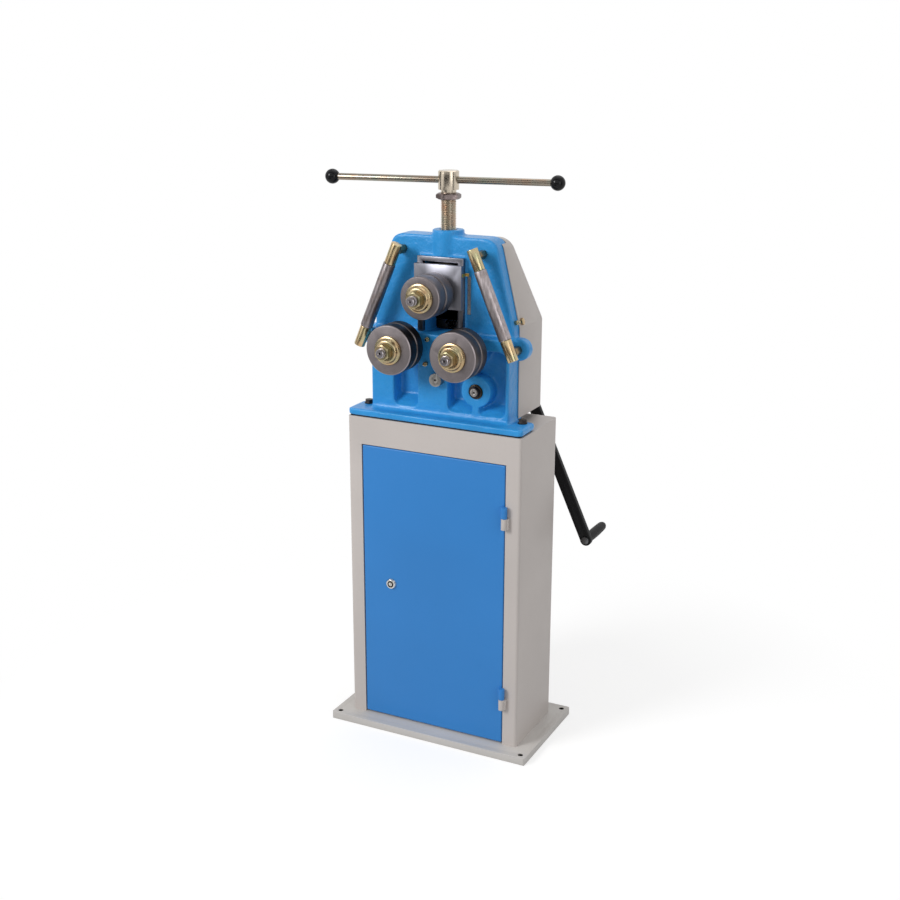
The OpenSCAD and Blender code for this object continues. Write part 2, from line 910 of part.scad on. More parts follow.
// The sloping floor of one pocket, from its front edge up to its rear wall
module pocket_slope(x_left, x_right) {
    z_front = z_flange + pocket_floor - over;
    y_rear = y_block + pocket_depth + over;
    translate([(x_left + x_right) / 2, 0, 0])
        across(x_right - x_left)
            polygon([[y_block, z_front], [y_rear, z_front], [y_rear, z_front + pocket_slope_h]]);
}

module frame_casting() {
    color(cast_blue)
        difference() {
            union() {
                difference() {
                    cast_walls();
                    slab(y_block - over, y_block + pocket_depth)
                        pocket_outline();
                }
                pocket_slope(-pocket_left_x, -pocket_rib_x);
                pocket_slope(pocket_mid_x, pocket_right_x);
                slab(y_pad, y_plate + over)
                    translate([-pad_w / 2, z_block - over])
                        square([pad_w, z_pad - z_block + over]);
                intersection() {
                    at_screw()
                        translate([0, 0, z_slot_top])
                            cylinder(d = boss_d, h = z_boss - z_slot_top);
                    translate([-boss_d, y_back - 2 * boss_d, z_slot_top])
                        cube([2 * boss_d, 2 * boss_d, z_boss - z_slot_top]);
                }
            }
            slab(y_block - over, y_back + over)
                translate([-slot_w / 2, z_slot])
                    square([slot_w, z_slot_top - z_slot]);
            at_screw()
                translate([0, 0, z_slot_top - over])
                    cylinder(d = screw_d + 2 * run_clear, h = z_boss - z_slot_top + 2 * over);
            for (side = [-1, 1])
                at_roll(side)
                    bar_y(bush_d + 2 * seat_clear, y_block - over, y_back + over);
            at_xz(crank_x, z_crank)
                bar_y(crank_bush_d + 2 * seat_clear, y_block - over, y_back + over);
            at_xz(0, z_idler)
                bar_y(idler_pin_d + 2 * seat_clear, y_block - over, y_back + over);
            for (side = [-1, 1]) {
                at_xz(side * top_stud_x, top_stud_z)
                    bar_y(stud_d + 2 * seat_clear, y_plate - over, y_plate + stud_grip + over);
                at_xz(side * ear_x, ear_z)
                    bar_y(stud_d + 2 * seat_clear, y_plate - over, y_plate + stud_grip + over);
                translate([side * flange_bolt_x, flange_bolt_y, cast_z - over])
                    cylinder(d = flange_bolt_d + 2 * bolt_clear, h = flange_t + 2 * over);
                at_slope(side, y_cover_bolt, z_cover_bolt)
                    translate([0, 0, -cover_bolt_grip - over])
                        cylinder(d = cover_bolt_d + 2 * seat_clear, h = cover_bolt_grip + 2 * over);
            }
            nipple_places()
                bar_y(nipple_seat_d + 2 * seat_clear, y_block - over, y_block + nipple_seat + over);
        }
}

module flange_bolts() {
    z_nut = cast_z - top_t - flange_washer_t - flange_nut_t;
    color(dark_steel)
        for (side = [-1, 1])
            translate([side * flange_bolt_x, flange_bolt_y, 0]) {
                translate([0, 0, z_nut - thread_spare])
                    cylinder(
                        d = flange_bolt_d,
                        h = z_flange + flange_washer_t + over - z_nut + thread_spare
                    );
                translate([0, 0, z_flange])
                    cylinder(d = flange_washer_d, h = flange_washer_t);
                translate([0, 0, z_flange + flange_washer_t])
                    cylinder(d = flange_bolt_af / cos(30), h = flange_bolt_head, $fn = 6);
                difference() {
                    union() {
                        translate([0, 0, z_nut])
                            cylinder(d = flange_bolt_af / cos(30), h = flange_nut_t, $fn = 6);
                        translate([0, 0, z_nut + flange_nut_t])
                            cylinder(d = flange_washer_d, h = flange_washer_t);
                    }
                    translate([0, 0, z_nut - over])
                        cylinder(
                            d = flange_bolt_d + 2 * run_clear,
                            h = flange_nut_t + flange_washer_t + 2 * over
                        );
                }
            }
}

module rear_cover() {
    grown = cover_clear + cover_sheet;
    color(stand_grey)
        difference() {
            intersection() {
                slab(y_cover_front, y_cover_rear + over)
                    polygon(cast_outline(grown, z_cover_foot, z_cover_top, cast_corner_r));
                across(2 * foot_w)
                    polygon(cover_profile(0));
            }
            intersection() {
                slab(y_cover_front - over, y_cover_rear + over)
                    polygon(cast_outline(
                        cover_clear, z_cover_foot - over, z_cover_top - cover_sheet, cast_corner_r
                    ));
                across(2 * foot_w)
                    polygon(cover_profile(-cover_sheet));
            }
            slab(y_cover_front - over, y_back + cover_clear)
                polygon(cast_outline(cover_clear, z_cover_foot - over, z_cast_top + over, cast_corner_r));
            at_xz(crank_x, z_crank)
                bar_y(
                    crank_shaft_d + 2 * cover_hole_spare,
                    y_cover_rear - cover_sheet - over, y_cover_rear + over
                );
            for (side = [-1, 1])
                at_slope(side, y_cover_bolt, z_cover_bolt)
                    translate([0, 0, -over])
                        cylinder(d = cover_bolt_d + 2 * bolt_clear, h = grown + 2 * over);
        }
}

module cover_bolts() {
    grown = cover_clear + cover_sheet;
    color(zinc)
        for (side = [-1, 1])
            at_slope(side, y_cover_bolt, z_cover_bolt) {
                translate([0, 0, -cover_bolt_grip])
                    cylinder(d = cover_bolt_d, h = cover_bolt_grip + grown + over);
                translate([0, 0, grown])
                    cylinder(d = cover_bolt_af / cos(30), h = cover_bolt_head, $fn = 6);
            }
}

module lower_bushes() {
    color(bronze)
        for (side = [-1, 1])
            at_roll(side)
                tube_y(bush_d, shaft_d + 2 * run_clear, y_block, y_gear - thrust_gap);
}

module crank_bush() {
    color(bronze)
        at_xz(crank_x, z_crank)
            tube_y(crank_bush_d, crank_shaft_d + 2 * run_clear, y_block, y_back);
}

module idler_pin() {
    y_end = y_gear_back + thrust_gap;
    color(steel)
        at_xz(0, z_idler) {
            difference() {
                union() {
                    bar_y(idler_head_d, y_block - idler_head_t, y_block);
                    bar_y(idler_pin_d, y_block - over, y_end);
                }
                bar_y(centre_d, y_block - idler_head_t - over, y_block - idler_head_t + centre_depth);
            }
            bar_y(idler_washer_d, y_end, y_end + idler_washer_t);
            hex_y(idler_bolt_af, y_end + idler_washer_t, y_end + idler_washer_t + idler_bolt_t);
        }
}

// Places of the grease nipples: two on the block's front, one on the right slope
module nipple_places() {
    at_xz(-nipple_top_x, z_roll + nipple_top_rise)
        children();
    at_xz(-nipple_low_x, z_roll - nipple_low_drop)
        children();
    at_slope(1, y_nipple_side, z_shoulder + nipple_side_rise)
        rotate([-90, 0, 0])
            translate([0, -y_block, 0])
                children();
}

module grease_nipples() {
    color(zinc)
        nipple_places() {
            bar_y(nipple_seat_d, y_block - over, y_block + nipple_seat);
            hex_y(nipple_af, y_block - nipple_hex_t, y_block);
            bar_y(nipple_tip_d, y_block - nipple_hex_t - nipple_tip_h, y_block - nipple_hex_t + over);
        }
}

module scale_strip() {
    strip_x = slide_plate_w / 2 + strip_gap;
    strip_z = z_upper - strip_drop;
    color(steel) {
        translate([strip_x, y_plate - strip_t, strip_z])
            cube([strip_w, strip_t, strip_h]);
        for (z = [strip_screw_inset, strip_h - strip_screw_inset])
            at_xz(strip_x + strip_w / 2, strip_z + z)
                bar_y(strip_screw_d, y_plate - 2 * strip_t, y_plate - strip_t / 2);
    }
}

// Side guides

module guide_rods() {
    rod_end = ferrule_len - rod_seat;
    color(steel)
        for (side = [-1, 1])
            at_guide(side)
                translate([0, 0, rod_end - guide_len])
                    cylinder(d = guide_rod_d, h = guide_len - 2 * rod_end);
}

// One ferrule from the guide's end, hollow for the rod and drilled for its stud
module ferrule() {
    difference() {
        translate([0, 0, -ferrule_len])
            cylinder(d = ferrule_d, h = ferrule_len);
        translate([0, 0, -ferrule_len - over])
            cylinder(d = guide_rod_d + 2 * seat_clear, h = rod_seat + over);
        translate([0, 0, -stud_inset])
            bar_y(stud_d + 2 * seat_clear, -stud_past, ferrule_d);
    }
}

module guide_ferrules() {
    color(zinc)
        for (side = [-1, 1])
            at_guide(side) {
                ferrule();
                translate([0, 0, -guide_len])
                    mirror([0, 0, 1])
                        ferrule();
            }
}

// One stud, its shoulder against the ferrule and its tail in the casting
module guide_stud() {
    bar_y(stud_d, y_guide - stud_past + thrust_gap, y_plate + stud_grip);
    hex_y(stud_af, y_guide + ferrule_d / 2 + run_clear, y_plate);
}

module guide_studs() {
    color(dark_steel)
        for (side = [-1, 1]) {
            at_xz(side * top_stud_x, top_stud_z)
                guide_stud();
            at_xz(side * ear_x, ear_z)
                guide_stud();
        }
}

module guide_tube(side) {
    tube_gap = ferrule_len + thrust_gap;
    color(steel)
        at_guide(side)
            translate([0, 0, tube_gap - guide_len])
                difference() {
                    cylinder(d = guide_tube_d, h = guide_len - 2 * tube_gap);
                    translate([0, 0, -over])
                        cylinder(d = guide_rod_d + 2 * run_clear, h = guide_len);
                }
}

module left_guide_tube() {
    guide_tube(-1);
}

module right_guide_tube() {
    guide_tube(1);
}

// Driven rolls

// A shaft with a collar behind its roll, a journal and threaded ends
module roll_shaft(roll_w, y_seat, y_tail, y_end, tip) {
    y_tip = y_roll - cap_t - nut_t - tip;
    difference() {
        union() {
            bar_y(thread_d, y_tip, y_end);
            bar_y(shaft_d, y_roll + thrust_gap, y_tail);
            bar_y(collar_d, y_roll + roll_w, y_seat - thrust_gap);
        }
        bar_y(centre_d, y_tip - over, y_tip + centre_depth);
    }
}

module drive_shaft() {
    color(steel)
        roll_shaft(lower_roll_w, y_block, y_gear_back,
            y_gear_back + washer_t + rear_nut_t + thread_spare, lower_tip);
}

// A roll's front ring with the spigot that leaves a groove behind it
module front_ring(d, w) {
    color(steel)
        turned_y(y_roll + w + groove_w)
            polygon([
                [shaft_d / 2 + seat_clear, 0],
                [d / 2 - groove_depth, 0],
                [d / 2 - groove_depth, groove_w],
                [d / 2 - ring_chamfer, groove_w],
                [d / 2, groove_w + ring_chamfer],
                [d / 2, groove_w + w - ring_chamfer],
                [d / 2 - ring_chamfer, groove_w + w],
                [shaft_d / 2 + seat_clear, groove_w + w],
            ]);
}

// A roll's rear ring
module rear_ring(d, ring_w, roll_w) {
    w = roll_w - ring_w - groove_w;
    color(dark_steel)
        turned_y(y_roll + roll_w)
            polygon([
                [shaft_d / 2 + seat_clear, 0],
                [d / 2 - ring_chamfer, 0],
                [d / 2, ring_chamfer],
                [d / 2, w - ring_chamfer],
                [d / 2 - ring_chamfer, w],
                [shaft_d / 2 + seat_clear, w],
            ]);
}

// Shares of the cap washer's height and width at its steps
cap_rim_share = 0.3;
cap_neck_share = 0.55;
cap_dome_share = 0.86;
cap_top_share = 0.68;

// A dished washer that caps a roll
module cap_washer() {
    color(zinc)
        turned_y(y_roll)
            polygon([
                [thread_d / 2 + seat_clear, 0],
                [cap_d / 2, 0],
                [cap_d / 2, cap_t * cap_rim_share],
                [cap_d / 2 * cap_dome_share, cap_t * cap_neck_share],
                [cap_d / 2 * cap_top_share, cap_t],
                [thread_d / 2 + seat_clear, cap_t],
            ]);
}

// The nut in front of a roll
module roll_nut() {
    difference() {
        hex_y(nut_af, y_roll - cap_t - nut_t, y_roll - cap_t);
        bar_y(thread_d + 2 * seat_clear, y_roll - cap_t - nut_t - over, y_roll - cap_t + over);
    }
}

// A driven shaft's front nut, and the nut and washer that hold its gear
module drive_nuts() {
    y_nut = y_gear_back + washer_t;
    color(zinc) {
        roll_nut();
        difference() {
            union() {
                bar_y(gear_washer_d, y_gear_back, y_nut);
                hex_y(nut_af, y_nut, y_nut + rear_nut_t);
            }
            bar_y(thread_d + 2 * seat_clear, y_gear_back - over, y_nut + rear_nut_t + over);
        }
    }
}

module roll_gear(phase) {
    color(dark_steel)
        difference() {
            slab(y_gear, y_gear_back)
                gear_outline(roll_teeth, phase);
            bar_y(shaft_d + 2 * seat_clear, y_gear - over, y_gear_back + over);
        }
}

module left_shaft() {
    at_roll(-1) drive_shaft();
}

module left_front_ring() {
    at_roll(-1) front_ring(lower_roll_d, lower_ring_w);
}

module left_rear_ring() {
    at_roll(-1) rear_ring(lower_roll_d, lower_ring_w, lower_roll_w);
}

module left_cap_washer() {
    at_roll(-1) cap_washer();
}

module left_nuts() {
    at_roll(-1) drive_nuts();
}

module left_gear() {
    at_roll(-1) roll_gear(left_phase);
}

module right_shaft() {
    at_roll(1) drive_shaft();
}

module right_front_ring() {
    at_roll(1) front_ring(lower_roll_d, lower_ring_w);
}

module right_rear_ring() {
    at_roll(1) rear_ring(lower_roll_d, lower_ring_w, lower_roll_w);
}

module right_cap_washer() {
    at_roll(1) cap_washer();
}

module right_nuts() {
    at_roll(1) drive_nuts();
}

module right_gear() {
    at_roll(1) roll_gear(right_phase);
}

// Press slide

// Places of the keeper's screws
module keeper_screw_places() {
    z_low = z_slide + keeper_lift + keeper_screw_inset;
    z_high = z_slide + keeper_h - keeper_screw_inset;
    for (x = [-1, 1], z = [z_low, z_high])
        at_xz(x * keeper_screw_x, z)
            children();
}

module slide_block() {
    body_w = slot_w - 2 * slide_clear;
    color(bright_steel)
        difference() {
            union() {
                slab(y_slide_front, y_slide)
                    translate([-slide_plate_w / 2, z_slide])
                        square([slide_plate_w, slide_plate_h]);
                slab(y_slide - over, y_keeper)
                    translate([-body_w / 2, z_slide])
                        square([body_w, slide_body_h]);
            }
            at_xz(0, z_upper)
                bar_y(bush_d + 2 * seat_clear, y_slide_front - over, y_keeper + over);
            at_screw()
                translate([0, 0, z_collar - thrust_gap])
                    cylinder(d = collar_seat_d + 2 * run_clear, h = slide_body_h);
            at_screw()
                translate([0, 0, z_slide_top - screw_keeper_t])
                    cylinder(d = screw_keeper_d + 2 * run_clear, h = slide_body_h);
            keeper_screw_places()
                bar_y(keeper_screw_d + 2 * seat_clear, y_keeper - keeper_grip - over, y_keeper + over);
        }
}

module slide_keeper() {
    color(dark_steel)
        difference() {
            slab(y_keeper, y_keeper_back)
                translate([-keeper_w / 2, z_slide + keeper_lift])
                    square([keeper_w, keeper_h]);
            at_xz(0, z_upper)
                bar_y(bush_d + 2 * seat_clear, y_keeper - over, y_keeper_back + over);
            keeper_screw_places() {
                bar_y(keeper_screw_d + 2 * bolt_clear, y_keeper - over, y_keeper_back + over);
                bar_y(keeper_head_d + 2 * bolt_clear, y_keeper_back - keeper_head_t, y_keeper_back + over);
            }
        }
}

module keeper_screws() {
    color(black)
        keeper_screw_places() {
            bar_y(keeper_screw_d, y_keeper - keeper_grip, y_keeper_back - keeper_head_t + over);
            bar_y(keeper_head_d, y_keeper_back - keeper_head_t, y_keeper_back);
        }
}

module upper_bushes() {
    bush_len = (y_keeper_back - y_slide_front) / 3;
    color(bronze)
        at_xz(0, z_upper)
            for (y = [y_slide_front, y_keeper_back - bush_len])
                tube_y(bush_d, shaft_d + 2 * run_clear, y, y + bush_len);
}

module screw_keeper() {
    color(dark_steel)
        at_screw()
            translate([0, 0, z_slide_top - screw_keeper_t])
                difference() {
                    cylinder(d = screw_keeper_d, h = screw_keeper_t);
                    translate([0, 0, -over])
                        cylinder(d = screw_neck_d + 2 * plate_clear, h = screw_keeper_t + 2 * over);
                }
}

module scale_pointer() {
    y_tip = y_plate - 2 * strip_t - pointer_gap;
    color(brass)
        translate([slide_plate_w / 2, 0, z_slide + slide_plate_h - pointer_drop]) {
            translate([0, y_slide_front + slide_plate_t / 4, 0])
                cube([pointer_t, y_tip - y_slide_front - slide_plate_t / 4, pointer_h]);
            translate([0, y_tip - pointer_t, 0])
                cube([pointer_reach, pointer_t, pointer_h]);
        }
}

// Upper roll

module upper_shaft() {
    y_tail = y_keeper_back + thrust_gap;
    color(steel)
        at_xz(0, z_upper)
            roll_shaft(upper_roll_w, y_slide_front, y_tail,
                y_tail + retainer_t + retainer_nut_t + thread_spare, upper_tip);
}

module upper_front_ring() {
    at_xz(0, z_upper) front_ring(upper_roll_d, upper_ring_w);
}

module upper_rear_ring() {
    at_xz(0, z_upper) rear_ring(upper_roll_d, upper_ring_w, upper_roll_w);
}

module upper_cap_washer() {
    at_xz(0, z_upper) cap_washer();
}

module upper_nut() {
    color(zinc)
        at_xz(0, z_upper) roll_nut();
}

module upper_retainer() {
    y_tail = y_keeper_back + thrust_gap;
    y_nut = y_tail + retainer_t;
    color(dark_steel)
        at_xz(0, z_upper)
            difference() {
                union() {
                    bar_y(retainer_d, y_tail, y_nut);
                    hex_y(nut_af, y_nut, y_nut + retainer_nut_t);
                }
                bar_y(thread_d + 2 * seat_clear, y_tail - over, y_nut + retainer_nut_t + over);
            }
}

// Press screw

module press_screw() {
    z_thread = z_slide_top + thread_start;
    spigot_h = z_tommy - tommy_d / 2 - z_spigot - thrust_gap;
    color(zinc)
        at_screw() {
            translate([0, 0, z_collar])
                cylinder(d = collar_seat_d, h = collar_seat_h);
            translate([0, 0, z_collar])
                cylinder(d = screw_neck_d, h = z_spigot + spigot_h - z_collar);
            translate([0, 0, z_thread])
                cylinder(d = screw_d, h = z_spigot - z_thread);
        }
}

module screw_hub() {
    color(zinc)
        at_screw()
            difference() {
                union() {
                    translate([0, 0, z_spigot])
                        cylinder(d = hub_neck_d, h = hub_neck_h + over);
                    translate([0, 0, z_hub])
                        cylinder(d = hub_d, h = hub_h - hub_chamfer);
                    translate([0, 0, z_hub + hub_h - hub_chamfer])
                        cylinder(d1 = hub_d, d2 = hub_d - 2 * hub_chamfer, h = hub_chamfer);
                }
                translate([0, 0, z_spigot - over])
                    cylinder(
                        d = screw_neck_d + 2 * seat_clear,
                        h = z_tommy - tommy_d / 2 - z_spigot + over
                    );
                at_tommy()
                    translate([-hub_d, 0, 0])
                        rotate([0, 90, 0])
                            cylinder(d = tommy_d + 2 * run_clear, h = 2 * hub_d);
            }
}

module jam_nut() {
    color(dark_steel)
        at_screw()
            translate([0, 0, z_jam])
                difference() {
                    cylinder(d = jam_af / cos(30), h = jam_t, $fn = 6);
                    translate([0, 0, -over])
                        cylinder(d = screw_d + 2 * seat_clear, h = jam_t + 2 * over);
                }
}

// The tommy bar's own frame: along X through the hub
module at_tommy() {
    translate([0, 0, z_tommy])
        rotate([0, 0, tommy_angle])
            children();
}

module tommy_bar() {
    bar_len = tommy_len + 2 * ball_seat;
    color(zinc)
        at_screw()
            at_tommy()
                translate([-tommy_push - bar_len / 2, 0, 0])
                    rotate([0, 90, 0])
                        cylinder(d = tommy_d, h = bar_len);
}

module tommy_balls() {
    color(black)
        at_screw()
            at_tommy()
                for (side = [-1, 1])
                    translate([side * tommy_len / 2 - tommy_push, 0, 0])
                        rotate([0, -side * 90, 0])
                            difference() {
                                sphere(d = ball_d);
                                translate([0, 0, -ball_seat])
                                    cylinder(d = tommy_d + 2 * ball_clear, h = ball_d);
                            }
}

// Crank and idler

module crank_shaft() {
    y_tip = y_block - crank_front;
    color(steel)
        at_xz(crank_x, z_crank)
            difference() {
                union() {
                    bar_y(crank_shaft_d, y_tip, y_arm - eye_rise);
                    bar_y(crank_clip_d, y_block - thrust_gap - crank_clip_t, y_block - thrust_gap);
                    bar_y(crank_stop_d, y_gear_back, y_gear_back + crank_stop_t);
                    bar_y(crank_spigot_d, y_tip + over, y_arm + arm_t + crank_nut_t + thread_spare);
                }
                bar_y(centre_d, y_tip - over, y_tip + centre_depth);
            }
}

module crank_pinion() {
    color(dark_steel)
        at_xz(crank_x, z_crank)
            spur_gear(pinion_teeth, pinion_phase, crank_shaft_d + 2 * seat_clear, pinion_hub_d);
}

module crank_arm() {
    color(black)
        difference() {
            union() {
                slab(y_arm, y_arm + arm_t)
                    translate([crank_x, z_crank])
                        rotate(crank_dir) {
                            circle(d = eye_d);
                            translate([0, -arm_w / 2])
                                square([crank_len, arm_w]);
                            translate([crank_len, 0])
                                circle(d = arm_w + arm_end_rise);
                        }
                at_xz(crank_x, z_crank)
                    bar_y(eye_d - 2 * eye_step, y_arm - eye_rise, y_arm + over);
            }
            at_xz(crank_x, z_crank)
                bar_y(crank_spigot_d + 2 * seat_clear, y_arm - eye_rise - over, y_arm + arm_t + over);
            at_xz(grip_x, grip_z)
                bar_y(grip_bolt_d + 2 * seat_clear, y_arm - over, y_arm + arm_t + over);
        }
}

// The nut that holds the arm and the bolt that the grip turns on
module crank_fasteners() {
    y_nut = y_arm + arm_t;
    color(dark_steel) {
        at_xz(crank_x, z_crank)
            difference() {
                hex_y(crank_nut_af, y_nut, y_nut + crank_nut_t);
                bar_y(crank_spigot_d + 2 * seat_clear, y_nut - over, y_nut + crank_nut_t + over);
            }
        at_xz(grip_x, grip_z) {
            bar_y(grip_head_d, y_arm - grip_head_t, y_arm);
            bar_y(grip_bolt_d, y_arm - over, y_grip_end + thrust_gap + over);
            bar_y(grip_head_d, y_grip_end + thrust_gap, y_grip_end + thrust_gap + grip_head_t);
        }
    }
}

module crank_grip() {
    bore_r = grip_bolt_d / 2 + run_clear;
    end_r = grip_d / 2 - grip_bulge;
    color(black)
        at_xz(grip_x, grip_z)
            turned_y(y_grip_end)
                polygon(concat(
                    [[bore_r, 0]],
                    [for (i = [0:grip_steps])
                        [end_r + grip_bulge * sin(180 * i / grip_steps), grip_len * i / grip_steps]],
                    [[bore_r, grip_len]]
                ));
}

module idler_gear() {
    color(dark_steel)
        at_xz(0, z_idler)
            spur_gear(idler_teeth, idler_phase, idler_pin_d + 2 * run_clear, pinion_hub_d);
}

base_plate();
cabinet_body();
cabinet_top();
hinge_frame_knuckles();
frame_casting();
flange_bolts();
rear_cover();
cover_bolts();
lower_bushes();
crank_bush();
idler_pin();
grease_nipples();
scale_strip();
guide_rods();
guide_ferrules();
guide_studs();
left_guide_tube();
right_guide_tube();
door_panel();
hinge_door_knuckles();
lock_body();
lock_plug();
lock_cam();
left_shaft();
left_front_ring();
left_rear_ring();
left_cap_washer();
left_nuts();
left_gear();
right_shaft();
right_front_ring();
right_rear_ring();
right_cap_washer();
right_nuts();
right_gear();
slide_block();
slide_keeper();
keeper_screws();
upper_bushes();
screw_keeper();
scale_pointer();
upper_shaft();
upper_front_ring();
upper_rear_ring();
upper_cap_washer();
upper_nut();
upper_retainer();
press_screw();
screw_hub();
jam_nut();
tommy_bar();
tommy_balls();
crank_shaft();
crank_pinion();
crank_arm();
crank_fasteners();
crank_grip();
idler_gear();
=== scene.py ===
"""Looks of the angle roll bender: finishes, rounded castings, threads, nuts and the studio round them.

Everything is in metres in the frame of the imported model: +Z up, the operator stands at -Y.
"""

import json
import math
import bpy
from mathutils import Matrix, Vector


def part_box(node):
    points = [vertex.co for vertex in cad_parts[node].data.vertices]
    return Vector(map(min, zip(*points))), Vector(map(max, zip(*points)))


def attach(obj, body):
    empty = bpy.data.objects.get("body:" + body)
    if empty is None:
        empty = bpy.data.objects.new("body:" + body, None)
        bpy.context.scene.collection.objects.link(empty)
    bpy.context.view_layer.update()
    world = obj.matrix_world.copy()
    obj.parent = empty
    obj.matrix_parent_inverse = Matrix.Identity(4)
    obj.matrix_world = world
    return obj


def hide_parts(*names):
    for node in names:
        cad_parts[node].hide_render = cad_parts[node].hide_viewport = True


bl_info = {
    "name": "Angle roll bender",
    "version": (1, 0, 0),
    "blender": (4, 5, 0),
    "location": "View3D > Sidebar > Bender",
    "description": "Dresses the packed roll bender with castings, threads, finishes and a studio",
    "category": "Object",
}

import bpy
from mathutils import Matrix, Vector

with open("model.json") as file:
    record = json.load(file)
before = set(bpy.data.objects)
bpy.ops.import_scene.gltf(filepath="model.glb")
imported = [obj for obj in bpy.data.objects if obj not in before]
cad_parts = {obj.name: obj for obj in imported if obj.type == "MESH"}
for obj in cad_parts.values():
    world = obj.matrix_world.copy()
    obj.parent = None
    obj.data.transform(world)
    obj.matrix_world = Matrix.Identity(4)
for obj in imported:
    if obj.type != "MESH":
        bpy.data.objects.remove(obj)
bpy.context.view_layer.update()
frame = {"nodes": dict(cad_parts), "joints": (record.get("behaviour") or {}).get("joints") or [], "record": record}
MM = 0.001

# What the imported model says: each node's body and slot, and where the joints' axes point and pass
BODIES = frame["record"]["behaviour"]["bodies"]
BODY_OF = {node: body for body, nodes in BODIES.items() for node in nodes}
SLOT_OF = {row["node"]: row["material_slot"] for row in frame["record"]["subparts"]}
AXES = {joint["name"]: joint["axis"] for joint in frame["joints"]}
CENTRES = {joint["name"]: Vector(joint["pos_m"]) for joint in frame["joints"] if "pos_m" in joint}
CRANK = CENTRES["crank_turn"]
GRIP = CENTRES["grip_turn"]
SCREW = CENTRES["screw_turn"]
ROLLS = {side: CENTRES[side + "_roll_turn"] for side in ("left", "right", "upper")}

# Painted light and shade on each roll: a tint for its front, how far its blackened side is painted up to grey, and
# the painted shade on its rear ring
ROLL_PAINTED_LIGHT = {"left": (1.0, 1.5), "right": (1.0, 3.4), "upper": (0.74, 6.5)}
REAR_RING_PAINTED_SHADE = 0.45

# Points this close are one, and a point this close to a plane lies on it
SAME = 0.001 * MM
NEAR = 0.05 * MM

# Rounded edges, by the kind of piece
HEAVY_EDGE = 1.6 * MM
FERRULE_EDGE = 1.3 * MM
TUBE_EDGE = 1.2 * MM
BOLT_EDGE = 0.8 * MM
STUD_EDGE = 0.7 * MM
SHEET_EDGE = 0.6 * MM
LOCK_EDGE = 0.5 * MM
TOOTH_EDGE = 0.4 * MM
RING_EDGE = 0.35 * MM
POINTER_EDGE = 0.3 * MM

# The front of the casting's lower block
BLOCK_Y = -65 * MM

# The slide's seat: its face and how far that stands proud, its back, its edges, and the casting's step
SEAT_Y = -57 * MM
SEAT_PROUD = 0.1 * MM
SEAT_BACK = -44 * MM
SEAT_X = 53 * MM
SEAT_LOW = 908.5 * MM
SEAT_HIGH = 1066 * MM
SEAT_STEP = 7 * MM

# The slot through the seat, and the room that the softened casting needs over it
SLOT_X = 40.2 * MM
SLOT_HIGH = 1056 * MM
SLOT_ROOM = 5 * MM

# The press screw: its thread, that thread's run into the slide and its fit, its flange, neck and jam nut
SCREW_RADIUS = 16 * MM
SCREW_DEPTH = 1.6 * MM
SCREW_SINK = 5 * MM
SCREW_FIT = 0.1 * MM
FLANGE_RADIUS = 18 * MM
FLANGE_TALL = 10 * MM
NECK_RADIUS = 12 * MM
JAM_TURN = math.radians(8)

# Nuts and washers of the roll shafts, and the thread that they run on, from its root to its plain end
NUT_ACROSS = 30 * MM
NUT_TALL = 16 * MM
REAR_NUT_TALL = 12 * MM
TIP_RADIUS = 9.9 * MM
TIP_DEPTH = 1.1 * MM
TIP_ROOT = -2 * MM
TIP_PLAIN = 6 * MM
WASHER_BORE = 10.1 * MM
WASHER_RADIUS = 24 * MM
WASHER_TALL = 3 * MM

# The front of a dished washer, as shares of its radius and height
DISH = (
    (1, 0.24), (0.985, 0.31), (0.95, 0.345), (0.90, 0.38), (0.865, 0.44), (0.84, 0.53), (0.815, 0.68),
    (0.79, 0.83), (0.745, 0.94), (0.69, 1), (0.55, 1),
)

# Outlines in millimetres, radius and height: a shaft's plain end, the crank's clip, a grease nipple
PLAIN_END = ((0, -14), (0, -12), (2.4, -8), (2.4, -1.2), (3.4, 0), (7.6, 0), (9.2, -1.6), (9.2, -14))
CLIP = ((11.1, 0), (13.6, 0), (14.3, 0.5), (14.3, 2.6), (13.4, 3.2), (11.1, 3.2))
NIPPLE = (
    (0, -4), (3, -4), (3, 7), (2.1, 8), (2, 8.8), (2.9, 9.8), (3, 10.6), (2.2, 11.7), (0.8, 12),
    (0.6, 11.4), (0, 11.4),
)

# A grease nipple's hexagon: across its flats, its height and its bore
NIPPLE_HEXAGON = (9 * MM, 6 * MM, 0.5 * MM)

# The crank's clip stands this far off the casting, and the grip's belly is this share of the solid's
CLIP_GAP = 0.4 * MM
GRIP_BELLY = 0.84

# The cabinet's upright corners, and the joint between it and the casting's foot
CABINET_CORNER = 7 * MM
JOINT = 2.4 * MM

# Turning a shape drawn along +Z so that it points to the operator, or away
TO_FRONT = Matrix.Rotation(math.radians(90), 4, "X")
TO_BACK = Matrix.Rotation(math.radians(-90), 4, "X")

# Grease nipples: where each sits, in millimetres, and how it is turned, the last off a slope
SLOPE = math.radians(13.29)
NIPPLES = (
    ((-24, -65, 895), TO_FRONT),
    ((-29, -65, 842), TO_FRONT),
    ((156.7, -29, 939), Matrix.Rotation(math.radians(90) - SLOPE, 4, "Y")),
)


# Settings


def setting(kind, **limits):
    """A kind of setting, which is then given a name, a description and a default."""
    return lambda name, text, value: kind(name=name, description=text, default=value, **limits)


colour = setting(bpy.props.FloatVectorProperty, subtype="COLOR", size=3, min=0, max=1)
length = setting(bpy.props.FloatProperty, subtype="DISTANCE", unit="LENGTH", min=0, precision=5)
point = setting(bpy.props.FloatVectorProperty, subtype="TRANSLATION", unit="LENGTH")
angle = setting(bpy.props.FloatProperty, subtype="ANGLE")
level = setting(bpy.props.FloatProperty, min=0)
count = setting(bpy.props.IntProperty, min=0)


